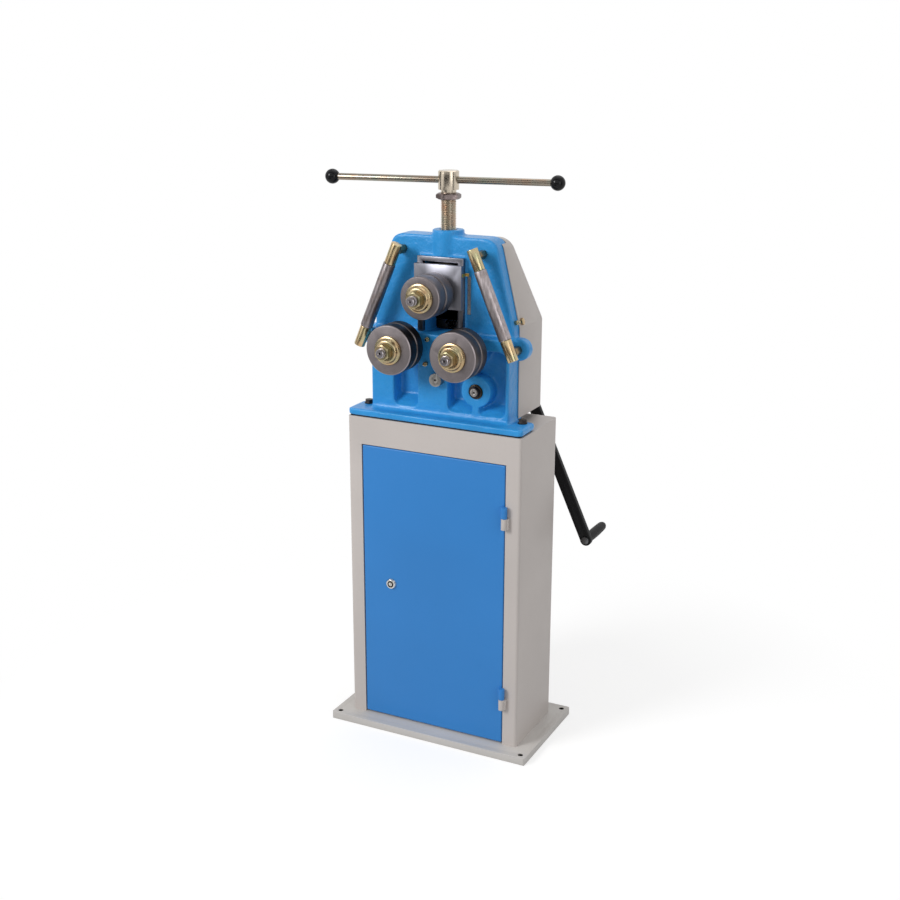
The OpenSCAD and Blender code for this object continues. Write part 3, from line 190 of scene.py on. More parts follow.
class BenderColours(bpy.types.PropertyGroup):
    """Paints and metals of the bender."""

    casting: colour("Casting", "Enamel on the casting", (0.030, 0.305, 0.71))
    door: colour("Door", "Enamel on the door", (0.038, 0.228, 0.60))
    stand: colour("Stand", "Enamel on the cabinet and the rear cover", (0.56, 0.515, 0.49))
    plate: colour("Floor plate", "Enamel on the floor plate", (0.585, 0.56, 0.535))
    zinc: colour("Yellow zinc", "Plating of washers, nuts, studs and ferrules", (0.43, 0.345, 0.205))
    pale_zinc: colour("Pale zinc", "Plating of the bar, the hub and the screw", (0.44, 0.385, 0.31))
    face: colour("Roll face", "Turned faces of the rolls", (0.245, 0.217, 0.222))
    black_oxide: colour("Black oxide", "Blackened sides, bolts and clips", (0.035, 0.030, 0.029))
    ground: colour("Ground steel", "Ground faces of the slide", (0.44, 0.44, 0.50))
    tube: colour("Guide tube", "Drawn tubes of the side guides", (0.32, 0.285, 0.29))
    black: colour("Black", "Crank, grip and ball knobs", (0.012, 0.012, 0.013))


class BenderSizes(bpy.types.PropertyGroup):
    """Sizes of what the looks add."""

    cast_voxel: length("Cast grain", "Mesh size of the rounded casting", 2.7 * MM)
    cast_soften: count("Cast softening", "How often the casting's edges are softened", 7)
    edge: length("Edge round", "Rounding on machined edges", 0.9 * MM)
    fold: length("Fold radius", "Radius of the folds in the sheet metal", 2.8 * MM)
    screw_pitch: length("Screw pitch", "Rise of the press screw in one turn", 3.5 * MM)
    tip_pitch: length("Shaft thread pitch", "Rise of the shafts' end threads in one turn", 2 * MM)


class BenderStage(bpy.types.PropertyGroup):
    """Camera and light."""

    camera: point("Camera", "Place of the camera", (1.229, -2.472, 1.479))
    target: point("Target", "Point that the camera looks at", (-0.005, 0.0, 0.639))
    lens: level("Lens", "Focal length in millimetres", 53.25)
    roll: angle("Roll", "Turn of the camera about its view", math.radians(0.13))
    ambient: level("Ambient", "Light from all round", 0.50)
    key: level("Key", "Watts of the large front light", 101)
    fill: level("Fill", "Watts of the side light", 20)
    top: level("Top", "Watts of the overhead light", 15)


# Shader maths


class Sock:
    """An output socket that takes part in Python sums."""

    def __init__(self, owner, socket):
        self.owner = owner
        self.socket = socket

    def maths(self, operation, first, second=0.0, clamp=False):
        """One Math node."""
        settings = {"operation": operation, "use_clamp": clamp}
        return self.owner.node("ShaderNodeMath", settings, {0: first, 1: second})

    def __add__(self, other):
        return self.maths("ADD", self, other)

    __radd__ = __add__

    def __sub__(self, other):
        return self.maths("SUBTRACT", self, other)

    def __rsub__(self, other):
        return self.maths("SUBTRACT", other, self)

    def __mul__(self, other):
        return self.maths("MULTIPLY", self, other)

    __rmul__ = __mul__

    def __abs__(self):
        return self.maths("ABSOLUTE", self)

    def __gt__(self, other):
        return self.maths("GREATER_THAN", self, other)

    def __lt__(self, other):
        return self.maths("LESS_THAN", self, other)

    def over(self, low, high):
        """0 below low, 1 above high, and a slope between them."""
        return self.maths("MULTIPLY", self - low, 1 / (high - low), clamp=True)


class Tree:
    """The nodes of a material or a world, under construction."""

    def __init__(self, owner):
        owner.use_nodes = True
        self.tree = owner.node_tree

    def node(self, kind, settings=None, inputs=None, out=0):
        """Adds a node, sets it up, fills its sockets with values or links and returns one output."""
        made = self.tree.nodes.new(kind)
        for key, value in (settings or {}).items():
            if key == "stops":
                self.stops(made.color_ramp.elements, value)
            else:
                setattr(made, key, value)
        for key, value in (inputs or {}).items():
            self.put(made.inputs[key], value)
        return Sock(self, made.outputs[out])

    def stops(self, elements, stops):
        """Fills a colour ramp."""
        while len(elements) < len(stops):
            elements.new(1.0)
        for element, (place, shade) in zip(elements, stops):
            element.position = place
            element.color = (*shade, 1.0)

    def put(self, socket, value):
        """Links a socket, or sets its value."""
        if isinstance(value, Sock):
            self.tree.links.new(value.socket, socket)
        elif socket.type == "RGBA":
            socket.default_value = (*value, 1.0)
        else:
            socket.default_value = value

    def seen(self):
        """1 for the eye, mirrored or through glass too, and 0 for the light on matte surfaces."""
        rays = ("Is Camera Ray", "Is Glossy Ray", "Is Transmission Ray")
        camera, glossy, through = (self.node("ShaderNodeLightPath", out=ray) for ray in rays)
        return (camera + glossy + through).over(0, 1)


class Finish(Tree):
    """A material under construction, with one Principled shader."""

    def __init__(self, name):
        self.material = bpy.data.materials.new(name)
        super().__init__(self.material)
        self.shader = self.tree.nodes["Principled BSDF"]
        self.spot = self.node("ShaderNodeTexCoord", out="Object")

    def set(self, bump=None, **values):
        """Sets the Principled shader: base, rough, metal and coat may vary, and bump raises the surface."""
        names = {
            "base": "Base Color", "rough": "Roughness", "metal": "Metallic", "coat": "Coat Weight",
            "coat_rough": "Coat Roughness", "specular": "Specular IOR Level",
        }
        for key, value in values.items():
            self.put(self.shader.inputs[names[key]], value)
        if bump:
            height, depth = bump
            inputs = {"Height": height, "Distance": depth, "Strength": 1.0}
            self.put(self.shader.inputs["Normal"], self.node("ShaderNodeBump", None, inputs))
        return self.material

    def place(self, move=(0, 0, 0), scale=(1, 1, 1), turn=(0, 0, 0)):
        """Object coordinates moved, turned and stretched."""
        inputs = {"Vector": self.spot, "Location": move, "Rotation": turn, "Scale": scale}
        return self.node("ShaderNodeMapping", None, inputs)

    def part(self, axis, vector=None):
        """One part of a vector, or of the object's coordinates."""
        return self.node("ShaderNodeSeparateXYZ", None, {0: vector or self.spot}, out=axis)

    def noise(self, scale, detail=3.0, rough=0.55, vector=None):
        """Soft noise, so many lumps to the metre."""
        inputs = {"Vector": vector or self.spot, "Scale": scale, "Detail": detail, "Roughness": rough}
        return self.node("ShaderNodeTexNoise", None, inputs)

    def lines(self, value, scale, detail=4.0):
        """Fine lines along one value, so many to the metre."""
        inputs = {"W": value, "Scale": scale, "Detail": detail}
        return self.node("ShaderNodeTexNoise", {"noise_dimensions": "1D"}, inputs)

    def mix(self, factor, first, second):
        """Two colours mixed."""
        return self.node("ShaderNodeMix", {"data_type": "RGBA"}, {0: factor, 6: first, 7: second}, out=2)

    def tones(self, factor, shade, low, high):
        """A darker and a lighter tone of one colour mixed."""
        return self.mix(factor, tint(shade, low), tint(shade, high))

    def radius(self, centre):
        """Distance from an axis along Y."""
        flat = self.place((-centre[0], 0, -centre[2]), (1, 0, 1))
        return self.node("ShaderNodeVectorMath", {"operation": "LENGTH"}, {0: flat}, out="Value")


def tint(shade, factor):
    """A colour made lighter or darker."""
    return tuple(min(1.0, part * factor) for part in shade)


# Finishes


def bolt_holes(finish):
    """1 on the walls of the floor plate's bolt holes, 0 elsewhere."""
    bolts = frame["record"]["mounts"][0]["dims"]
    x = abs(finish.part("X")) - bolts["spacing_x_mm"] / 2 * MM
    y = abs(finish.part("Y")) - bolts["spacing_y_mm"] / 2 * MM
    reach = (bolts["hole_r_mm"] + 0.5) * MM
    below = finish.part("Z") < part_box("base_plate")[1].z - 2 * MM
    return (x * x + y * y < reach * reach) * below


def enamel(name, paint, rough, peel, sheen=0.3, drift=0.06, bare_and_shaded=None):
    """Sprayed enamel on sheet: faint clouds and orange peel, and near-black where the mask says so: unpainted
    steel with painted shade over it.
    """
    finish = Finish(name)
    clouds = finish.noise(3.5, 2)
    dust = finish.noise(60, 4, 0.6)
    base = finish.tones(clouds.over(0.3, 0.7), paint, 1 - drift, 1 + drift)
    base = finish.mix(dust.over(0.62, 0.8) * 0.10, base, tint(paint, 0.72))
    # Near-black in the masked bolt holes: unpainted steel and painted shade
    if bare_and_shaded:
        base = finish.mix(bare_and_shaded(finish), base, (0.015, 0.014, 0.013))
    grain = finish.noise(420, 1.5)
    waves = finish.noise(26, 1)
    worn = rough + (dust - 0.5) * 0.14
    return finish.set(base=base, rough=worn, specular=sheen, bump=(grain + waves * 1.5, peel))


def cast_enamel(name, paint):
    """Thick enamel on a sand casting: soft lumps, pits and a few glossy pools."""
    finish = Finish(name)
    clouds = finish.noise(9, 3)
    pits = finish.noise(75, 3, 0.6)
    base = finish.tones(clouds.over(0.3, 0.7), paint, 0.90, 1.10)
    base = finish.mix(pits.over(0.60, 0.78) * 0.22, base, tint(paint, 0.6))
    lumps = finish.noise(48, 2) * 2.2 + pits + finish.noise(330, 2) * 0.5
    rough = 0.33 + (clouds - 0.5) * 0.20
    return finish.set(
        base=base, rough=rough, specular=0.32, coat=clouds.over(0.45, 0.70) * 0.25, coat_rough=0.12,
        bump=(lumps, MM),
    )


def milled(name, shade):
    """Milled steel: the overlapping arcs of a face cutter."""
    finish = Finish(name)
    arcs = finish.lines(finish.radius((0.11, 0, 0.93)), 700, 3)
    stain = finish.noise(45, 4, 0.6)
    base = finish.tones(arcs.over(0.3, 0.7), shade, 0.8, 1.15)
    base = finish.mix(stain.over(0.55, 0.8) * 0.35, base, tint(shade, 0.5))
    return finish.set(base=base, rough=0.32 + (stain - 0.5) * 0.2, metal=1, bump=(arcs, 0.05 * MM))


def plating(name, shade, rough=0.27):
    """Yellow-passivated zinc: gold that drifts to green and rose."""
    finish = Finish(name)
    drift = finish.noise(42, 2)
    stain = finish.noise(130, 4, 0.6)
    stops = [
        (0.30, (shade[0] * 0.80, shade[1] * 0.95, shade[2] * 0.95)),
        (0.50, shade),
        (0.70, (shade[0] * 1.05, shade[1] * 0.88, shade[2] * 0.80)),
    ]
    hue = finish.node("ShaderNodeValToRGB", {"stops": stops}, {0: drift})
    base = finish.mix(stain.over(0.58, 0.80) * 0.25, hue, tint(shade, 0.5))
    grain = finish.noise(500, 2)
    return finish.set(base=base, rough=rough + (stain - 0.5) * 0.16, metal=1, bump=(grain, 0.012 * MM))


def roll_steel(name, centre, face, side):
    """A roll ring: turned front, a chamfer painted lighter as a painted highlight, and a blackened rolling face
    with rub marks.
    """
    finish = Finish(name)
    facing = abs(finish.part("Y", finish.node("ShaderNodeNewGeometry", out="Normal")))
    front = facing.over(0.90, 0.94)
    chamfer = facing.over(0.45, 0.55) - front
    turns = finish.lines(finish.radius(centre), 2600, 5)
    rub = finish.lines(finish.part("Y"), 1500, 5)
    stain = finish.noise(38, 4, 0.6)
    front_base = finish.tones(turns.over(0.3, 0.7), face, 0.72, 1.25)
    front_base = finish.mix(stain.over(0.5, 0.75) * 0.45, front_base, tint(face, 0.55))
    side_base = finish.mix(rub.over(0.50, 0.74), side, tint(face, 0.32))
    base = finish.mix(front, side_base, front_base)
    # The chamfer is painted lighter than the face: a painted highlight
    base = finish.mix(chamfer, base, tint(face, 1.25))
    rough = 0.44 + (stain - 0.5) * 0.25 - chamfer * 0.08
    lines = turns * front + rub * (1 - front)
    return finish.set(base=base, rough=rough, metal=0.92, bump=(lines, 0.06 * MM))


def turned(name, shade, rough=0.30, along="Y", spread=0.25):
    """Lathe-turned steel with fine rings across an axis."""
    finish = Finish(name)
    rings = finish.lines(finish.part(along), 2200, 5)
    stain = finish.noise(55, 4, 0.6)
    base = finish.tones(rings, shade, 1 - spread, 1 + spread)
    base = finish.mix(stain.over(0.55, 0.8) * 0.4, base, tint(shade, 0.45))
    return finish.set(base=base, rough=rough + (stain - 0.5) * 0.25, metal=1, bump=(rings, 0.05 * MM))


def skinned(name, shade, skin, centre, core):
    """Turned steel with a bright core and a blackened skin outside it."""
    finish = Finish(name)
    radius = finish.radius(centre)
    rings = finish.lines(radius, 2200, 5)
    base = finish.tones(rings, shade, 0.75, 1.25)
    base = finish.mix(radius.over(core, core + 0.5 * MM), base, skin)
    return finish.set(base=base, rough=0.28 + rings * 0.12, metal=1, bump=(rings, 0.05 * MM))


def drawn_tube(name, shade, axis):
    """Drawn steel tube with long stains along a leaning axis."""
    finish = Finish(name)
    lean = math.atan2(axis[0], -axis[2])
    along = finish.place(turn=(0, lean, 0), scale=(1, 1, 0.08))
    streaks = finish.noise(330, 5, 0.65, along)
    patches = finish.noise(34, 4, 0.65)
    base = finish.tones(streaks.over(0.3, 0.7), shade, 0.65, 1.3)
    base = finish.mix(patches.over(0.52, 0.72) * 0.55, base, (0.16, 0.105, 0.07))
    rough = 0.36 + (patches - 0.5) * 0.35
    return finish.set(base=base, rough=rough, metal=0.95, bump=(streaks, 0.07 * MM))


def ground_steel(name, shade):
    """Surface-ground steel with fine upright lines, a painted highlight down the middle and painted shade darker
    to the left.
    """
    finish = Finish(name)
    fine = finish.noise(1, 5, 0.7, finish.place(scale=(1900, 1900, 45)))
    cloud = finish.noise(30, 3)
    across = finish.part("X")
    # A lighter band down the middle: a painted highlight
    painted_highlight = 1 - abs(across - 5 * MM).over(12 * MM, 34 * MM)
    # Darker towards the left: painted shade
    painted_shade = finish.tones(across.over(-40 * MM, 40 * MM), shade, 0.32, 0.58)
    base = finish.mix(fine.over(0.3, 0.7) * 0.2, painted_shade, tint(shade, 0.8))
    base = finish.mix(painted_highlight * 0.85, base, tint(shade, 1.45))
    base = finish.mix(cloud.over(0.50, 0.78) * 0.25, base, tint(shade, 0.5))
    rough = 0.45 + (cloud - 0.5) * 0.2 + (fine - 0.5) * 0.1
    return finish.set(base=base, rough=rough, metal=0.8, bump=(fine, 0.02 * MM))


def black_steel(name, shade, rough=0.38):
    """Blackened steel with worn, oily patches."""
    finish = Finish(name)
    rub = finish.noise(90, 5, 0.65)
    base = finish.tones(rub.over(0.55, 0.78), shade, 1, 3)
    return finish.set(base=base, rough=rough + (rub - 0.5) * 0.3, metal=0.85, bump=(rub, 0.12 * MM))


def black_lacquer(name, shade, rough, grain, depth, sheen=0.14):
    """Black paint or moulded plastic with a fine grain and pale scuffs."""
    finish = Finish(name)
    scuff = finish.noise(70, 5, 0.7)
    base = finish.tones(scuff.over(0.62, 0.80) * 0.35, shade, 1, 3.5)
    skin = finish.noise(grain, 2)
    return finish.set(base=base, rough=rough + (scuff - 0.5) * 0.18, bump=(skin, depth), specular=sheen)


def phenolic(name, shade):
    """Polished black ball knobs with faint handling marks."""
    finish = Finish(name)
    marks = finish.noise(160, 4, 0.7)
    base = finish.tones(marks, shade, 0.4, 1.2)
    return finish.set(base=base, rough=0.08 + marks * 0.10, specular=0.15, bump=(marks, 0.03 * MM))


def ruled_scale(name, shade, strip):
    """A steel rule: a line each two millimetres and a longer one each ten."""
    finish = Finish(name)
    x = finish.part("X")
    z = finish.part("Z")
    low, high = strip
    middle = (low.x + high.x) / 2
    step, long_step = (z.maths("MODULO", z - low.z, pitch * MM) for pitch in (2, 10))
    short = (step < 0.5 * MM) * (x > middle)
    long = (long_step < 0.6 * MM) * (x > middle - 2 * MM)
    brushed = finish.lines(z, 3000)
    base = finish.tones(brushed, shade, 0.8, 1)
    marks = (short + long).over(0, 1)
    base = finish.mix(marks, base, (0.03, 0.03, 0.03))
    return finish.set(base=base, rough=0.32 + marks * 0.3, metal=1 - marks, bump=(brushed, 0.03 * MM))


# Modelling tools


def deselect():
    """Selects nothing."""
    bpy.ops.object.select_all(action="DESELECT")


def only(obj):
    """Selects one object and nothing else."""
    deselect()
    obj.select_set(True)
    bpy.context.view_layer.objects.active = obj


def open_edit():
    """Opens the active object in edit mode."""
    bpy.ops.object.mode_set(mode="EDIT")


def close_edit():
    """Leaves edit mode."""
    bpy.ops.object.mode_set(mode="OBJECT")


def edit_all(obj, action="SELECT"):
    """Opens an object in edit mode with everything selected, or nothing."""
    only(obj)
    open_edit()
    bpy.ops.mesh.select_all(action=action)


def apply(obj, kind, **settings):
    """Adds a modifier, sets it and applies it."""
    only(obj)
    modifier = obj.modifiers.new(kind.lower(), kind)
    for key, value in settings.items():
        setattr(modifier, key, value)
    bpy.ops.object.modifier_apply(modifier=modifier.name)
    return obj


def smooth(obj, degrees=35):
    """Smooth shading with sharp edges kept."""
    only(obj)
    bpy.ops.object.shade_smooth_by_angle(angle=math.radians(degrees))
    return obj


def eased(obj, width, segments=2, limit=40, **more):
    """Rounds the edges that are sharper than a limit in degrees."""
    sharp = {"limit_method": "ANGLE", "angle_limit": math.radians(limit)}
    return apply(obj, "BEVEL", width=width, segments=segments, **sharp, **more)


def tidy_mesh(obj):
    """Merges doubles and turns all faces outwards."""
    edit_all(obj)
    bpy.ops.mesh.remove_doubles(threshold=SAME)
    bpy.ops.mesh.normals_make_consistent(inside=False)
    close_edit()
    return obj


def put_at(obj, matrix):
    """Moves a shape by its mesh, so that the object stays at the origin."""
    obj.data.transform(matrix)
    obj.data.update()
    return obj


def on_axis(obj, centre, y, turn=TO_FRONT):
    """Turns a shape drawn along +Z to the front or back, on an axis along Y, with its foot at y."""
    return put_at(obj, Matrix.Translation((centre.x, y, centre.z)) @ turn)


def block(low, high):
    """A cuboid between two corners."""
    deselect()
    middle = (Vector(low) + Vector(high)) / 2
    bpy.ops.mesh.primitive_cube_add(size=1, location=middle, scale=Vector(high) - Vector(low))
    bpy.ops.object.transform_apply()
    return bpy.context.object


def outline(points):
    """Draws a chain of edges through points in the XZ plane, as one new object in edit mode."""
    deselect()
    bpy.ops.mesh.primitive_plane_add(size=MM)
    edit_all(bpy.context.object)
    bpy.ops.mesh.merge(type="CENTER")
    chain = [Vector((x, 0, z)) for x, z in points]
    bpy.ops.transform.translate(value=chain[0])
    for start, end in zip(chain, chain[1:]):
        bpy.ops.mesh.extrude_region_move(TRANSFORM_OT_translate={"value": end - start})
    return bpy.context.object


def in_mm(points, base=0.0):
    """An outline that is given in millimetres, raised to a base."""
    return [(x * MM, base + z * MM) for x, z in points]


def lathe(points, steps=64, sharp=35):
    """Closes an outline of radius and height and spins it about Z."""
    obj = outline([*points, points[0]])
    bpy.ops.mesh.select_all(action="SELECT")
    bpy.ops.mesh.spin(steps=steps, angle=math.tau, center=(0, 0, 0), axis=(0, 0, 1))
    close_edit()
    tidy_mesh(obj)
    return smooth(obj, sharp)


def hexagon(across, height, bore, chamfer=0.94):
    """A hexagon nut or bolt head on Z = 0, its corners turned down at both ends."""
    corner = across / math.sqrt(3)
    flat = across / 2 * chamfer
    out = corner + MM
    slope = (out - flat) * math.tan(math.radians(30))
    cutter = lathe([
        (bore, 0), (flat, 0), (out, slope), (out, height - slope), (flat, height), (bore, height),
    ], 48)
    deselect()
    bpy.ops.mesh.primitive_cylinder_add(
        vertices=6, radius=corner, depth=height + MM, location=(0, 0, height / 2)
    )
    body = bpy.context.object
    bpy.ops.object.transform_apply()
    apply(body, "BOOLEAN", operation="INTERSECT", solver="EXACT", object=cutter)
    bpy.data.objects.remove(cutter)
    return smooth(tidy_mesh(body), 28)


def thread(radius, depth, pitch, low, high, steps=40):
    """A closed threaded rod along Z between two heights."""
    turns = int((high - low) / pitch) + 3
    start = low - pitch
    root = radius - depth
    obj = outline([
        (root, start), (root, start + 0.08 * pitch), (radius, start + 0.42 * pitch),
        (radius, start + 0.58 * pitch), (root, start + 0.92 * pitch), (root, start + pitch),
    ])
    close_edit()
    apply(
        obj, "SCREW", axis="Z", screw_offset=pitch, iterations=turns, steps=steps, render_steps=steps,
        use_merge_vertices=True, merge_threshold=SAME,
    )
    edit_all(obj)
    bpy.ops.mesh.remove_doubles(threshold=SAME)
    bpy.ops.mesh.bisect(plane_co=(0, 0, low), plane_no=(0, 0, 1), use_fill=True, clear_inner=True)
    bpy.ops.mesh.select_all(action="SELECT")
    bpy.ops.mesh.bisect(plane_co=(0, 0, high), plane_no=(0, 0, 1), use_fill=True, clear_outer=True)
    close_edit()
    return smooth(tidy_mesh(obj), 40)


def joined(pieces):
    """Joins pieces into the first of them."""
    only(pieces[0])
    for piece in pieces[1:]:
        piece.select_set(True)
    bpy.ops.object.join()
    return pieces[0]


def copied(obj):
    """A copy of a shape with its own mesh."""
    twin = obj.copy()
    twin.data = obj.data.copy()
    bpy.context.scene.collection.objects.link(twin)
    return twin


def cad_copy(node):
    """A merged copy of a CAD node's mesh, with its flat faces made whole."""
    mesh = frame["nodes"][node].data.copy()
    obj = bpy.data.objects.new(node + "_dressed", mesh)
    bpy.context.scene.collection.objects.link(obj)
    if mesh.has_custom_normals:
        only(obj)
        bpy.ops.mesh.customdata_custom_splitnormals_clear()
    edit_all(obj)
    bpy.ops.mesh.remove_doubles(threshold=SAME)
    bpy.ops.mesh.dissolve_limited(angle_limit=math.radians(0.4))
    close_edit()
    return obj


def shift(obj, step, wanted):
    """Moves the points of a shape that are wanted."""
    edit_all(obj, "DESELECT")
    close_edit()
    for vertex in obj.data.vertices:
        vertex.select = wanted(vertex.co)
    open_edit()
    bpy.ops.transform.translate(value=step)
    close_edit()


def coat(mesh, material):
    """Gives a mesh one finish."""
    mesh.materials.clear()
    mesh.materials.append(material)


def keep(obj, name, body, slot, material, *nodes):
    """Names a finished piece, paints it, parents it to its body and hides the CAD nodes it replaces."""
    obj.name = name
    obj.data.name = name
    coat(obj.data, material)
    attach(obj, body)
    if nodes:
        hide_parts(*nodes)


def dressed(obj, node, material):
    """Hands over a shape in place of a CAD node, in the node's own body."""
    keep(obj, node + "_dressed", BODY_OF[node], SLOT_OF[node], material, node)


def rounded(node, material, width, segments=2, limit=38):
    """A CAD node dressed with rounded edges."""
    obj = eased(cad_copy(node), width, segments, limit, miter_outer="MITER_ARC")
    dressed(smooth(obj, 32), node, material)


def folded(node, material, radius, wanted):
    """A CAD node whose wanted edges, told by their middles, are rounded like folds in sheet."""
    obj = cad_copy(node)
    edit_all(obj, "DESELECT")
    bpy.ops.mesh.select_mode(type="EDGE")
    close_edit()
    points = [vertex.co for vertex in obj.data.vertices]
    for edge in obj.data.edges:
        start, end = (points[index] for index in edge.vertices)
        edge.select = wanted((start + end) / 2)
    open_edit()
    bpy.ops.mesh.bevel(offset=radius, segments=5, affect="EDGES", clamp_overlap=False)
    bpy.ops.mesh.select_mode(type="VERT")
    close_edit()
    dressed(smooth(obj, 30), node, material)


def paint(material, *nodes):
    """Gives CAD nodes a finish."""
    for node in nodes:
        coat(frame["nodes"][node].data, material)


def settings():
    """The add-on's settings."""
    scene = bpy.context.scene
    return scene.bender_colours, scene.bender_sizes, scene.bender_stage


# Pieces


class BENDER_OT_casting(bpy.types.Operator):
    """Round the casting as sand moulds do, and paint it"""

    bl_idname = "bender.casting"
    bl_label = "Casting"

    def execute(self, context):
        shades, sizes, _ = settings()
        casting = cad_copy("frame_casting")
        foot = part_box("frame_casting")[0].z
        shift(casting, (0, 0, JOINT), lambda spot: abs(spot.z - foot) < NEAR)
        shift(casting, (0, SEAT_STEP, 0), self.on_seat)
        shift(casting, (0, 0, SLOT_ROOM), self.on_slot)
        apply(casting, "REMESH", mode="VOXEL", voxel_size=sizes.cast_voxel)
        apply(casting, "SMOOTH", factor=0.5, iterations=sizes.cast_soften)
        only(casting)
        bpy.ops.object.shade_smooth()
        finish = cast_enamel("blue casting enamel", shades.casting)
        keep(casting, "casting_skin", "frame", "casting_blue", finish, "frame_casting")
        self.seat(milled("milled seat steel", tint(shades.ground, 0.5)))
        self.packing_shade(black_lacquer("black packing", shades.black, 0.6, 700, 0.08 * MM))
        return {"FINISHED"}

    def on_seat(self, spot):
        """Whether a point lies on the casting's own seat, which goes behind the milled plate."""
        return abs(spot.y - SEAT_Y) < NEAR and abs(spot.x) < SEAT_X + MM and spot.z > SEAT_LOW - MM

    def on_slot(self, spot):
        """Whether a point lies at the top of the slot, which clears the slide's corners when softened."""
        return abs(spot.z - SLOT_HIGH) < NEAR and abs(spot.x) < SLOT_X

    def packing_shade(self, dark):
        """The strip that the foot stands on, set back from the foot's edge, made black as painted shade under the
        foot.
        """
        low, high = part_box("frame_casting")
        inset = 5 * MM
        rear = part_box("flange_bolts")[1].y
        top = low.z + JOINT + MM
        strip = block((low.x + inset, low.y + inset, low.z), (high.x - inset, rear, top))
        keep(strip, "foot_packing", "frame", "dark_steel", dark)

    def seat(self, steel):
        """The slide's milled seat: a plate with a window, its edges eased."""
        plate = block((-SEAT_X, SEAT_Y - SEAT_PROUD, SEAT_LOW), (SEAT_X, SEAT_BACK, SEAT_HIGH))
        window = block((-SLOT_X, 2 * SEAT_Y, SEAT_LOW - MM), (SLOT_X, 0, SLOT_HIGH))
        apply(plate, "BOOLEAN", operation="DIFFERENCE", solver="EXACT", object=window)
        bpy.data.objects.remove(window)
        eased(tidy_mesh(plate), BOLT_EDGE)
        keep(smooth(plate), "slide_seat", "frame", "ground_steel", steel)


class BENDER_OT_stand(bpy.types.Operator):
    """Round the sheet edges of the stand, the door and the rear cover"""

    bl_idname = "bender.stand"
    bl_label = "Stand"

    def execute(self, context):
        shades, sizes, _ = settings()
        grey = enamel("warm grey enamel", shades.stand, 0.42, 0.12 * MM)
        blue = enamel("blue door enamel", shades.door, 0.36, 0.1 * MM, 0.28, 0.04)
        floor_paint = enamel("floor plate enamel", shades.plate, 0.45, 0.14 * MM, bare_and_shaded=bolt_holes)
        rounded("base_plate", floor_paint, HEAVY_EDGE, 3)
        self.cabinet(grey)
        self.door(blue, sizes.fold)
        rounded("rear_cover", grey, BOLT_EDGE, 2, 20)
        rounded("hinge_frame_knuckles", grey, TUBE_EDGE, 3)
        rounded("hinge_door_knuckles", blue, TUBE_EDGE, 3)
        paint(grey, "cabinet_top")
        return {"FINISHED"}

    def cabinet(self, grey):
        """The cabinet's shell, its outer top edge eased under the casting."""
        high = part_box("cabinet_body")[1]
        inner = high - Vector((CABINET_CORNER, CABINET_CORNER, 0))

        def top(middle):
            out = Vector((max(abs(middle.x) - inner.x, 0), max(abs(middle.y) - inner.y, 0)))
            return abs(middle.z - high.z) < NEAR and out.length > CABINET_CORNER - 0.5 * MM

        folded("cabinet_body", grey, SHEET_EDGE, top)

    def door(self, blue, radius):
        """The door's pan, with folds along its top and bottom too."""
        low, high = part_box("door_panel")

        def rim(middle):
            at_end = min(abs(middle.z - low.z), abs(middle.z - high.z)) < NEAR
            return at_end and middle.y < high.y - NEAR

        folded("door_panel", blue, radius, rim)


class BENDER_OT_rolls(bpy.types.Operator):
    """Finish the roll rings and turn the dished washers and shaft tips"""

    bl_idname = "bender.rolls"
    bl_label = "Rolls"

    def execute(self, context):
        shades, sizes, _ = settings()
        gold = plating("yellow zinc plating", shades.zinc)
        tip_steel = turned("turned tip steel", (0.33, 0.305, 0.32), 0.28)
        collar_steel = turned("dark turned steel", (0.16, 0.155, 0.15), 0.36)
        for side, centre in ROLLS.items():
            # Painted light per roll: its front tint, and grey lifts its blackened side as painted light
            painted_shade, grey = ROLL_PAINTED_LIGHT[side]
            skin = tint(shades.black_oxide, grey)
            for ring, painted_light in (("_front_ring", painted_shade), ("_rear_ring", REAR_RING_PAINTED_SHADE)):
                steel = roll_steel(side + ring + " steel", centre, tint(shades.face, painted_light), skin)
                rounded(side + ring, steel, RING_EDGE, 2, 20)
            self.cap(side, centre, gold)
            self.shaft(side, centre, tip_steel, collar_steel, sizes)
        return {"FINISHED"}

    def cap(self, side, centre, gold):
        """The dished washer, with rolled edges."""
        node = side + "_cap_washer"
        low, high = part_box(node)
        rim = (high.x - low.x) / 2
        tall = high.y - low.y
        rear = [(WASHER_BORE, 0), (rim - BOLT_EDGE, 0), (rim, BOLT_EDGE)]
        front = [(rim * out, tall * up) for out, up in DISH]
        cap = on_axis(lathe([*rear, *front, (WASHER_BORE, tall)], 72), centre, high.y)
        keep(cap, node + "_turned", BODY_OF[node], "zinc_yellow", gold, node)

    def shaft(self, side, centre, tip_steel, collar_steel, sizes):
        """The shaft with its turned body and a threaded tip with a centre hole."""
        node = side + "_shaft"
        body = BODY_OF[node]
        shaft = cad_copy(node)
        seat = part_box(side + "_cap_washer")[0].y
        edit_all(shaft)
        bpy.ops.mesh.bisect(plane_co=(0, seat, 0), plane_no=(0, 1, 0), use_fill=True, clear_inner=True)
        close_edit()
        smooth(eased(shaft, sizes.edge), 32)
        keep(shaft, node + "_turned", body, "turned_steel", collar_steel, node)
        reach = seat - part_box(node)[0].y
        screw = thread(TIP_RADIUS, TIP_DEPTH, sizes.tip_pitch, TIP_ROOT, reach - TIP_PLAIN)
        tip = on_axis(joined([screw, lathe(in_mm(PLAIN_END, reach), 48)]), centre, seat)
        keep(tip, side + "_shaft_tip", body, "turned_steel", tip_steel)


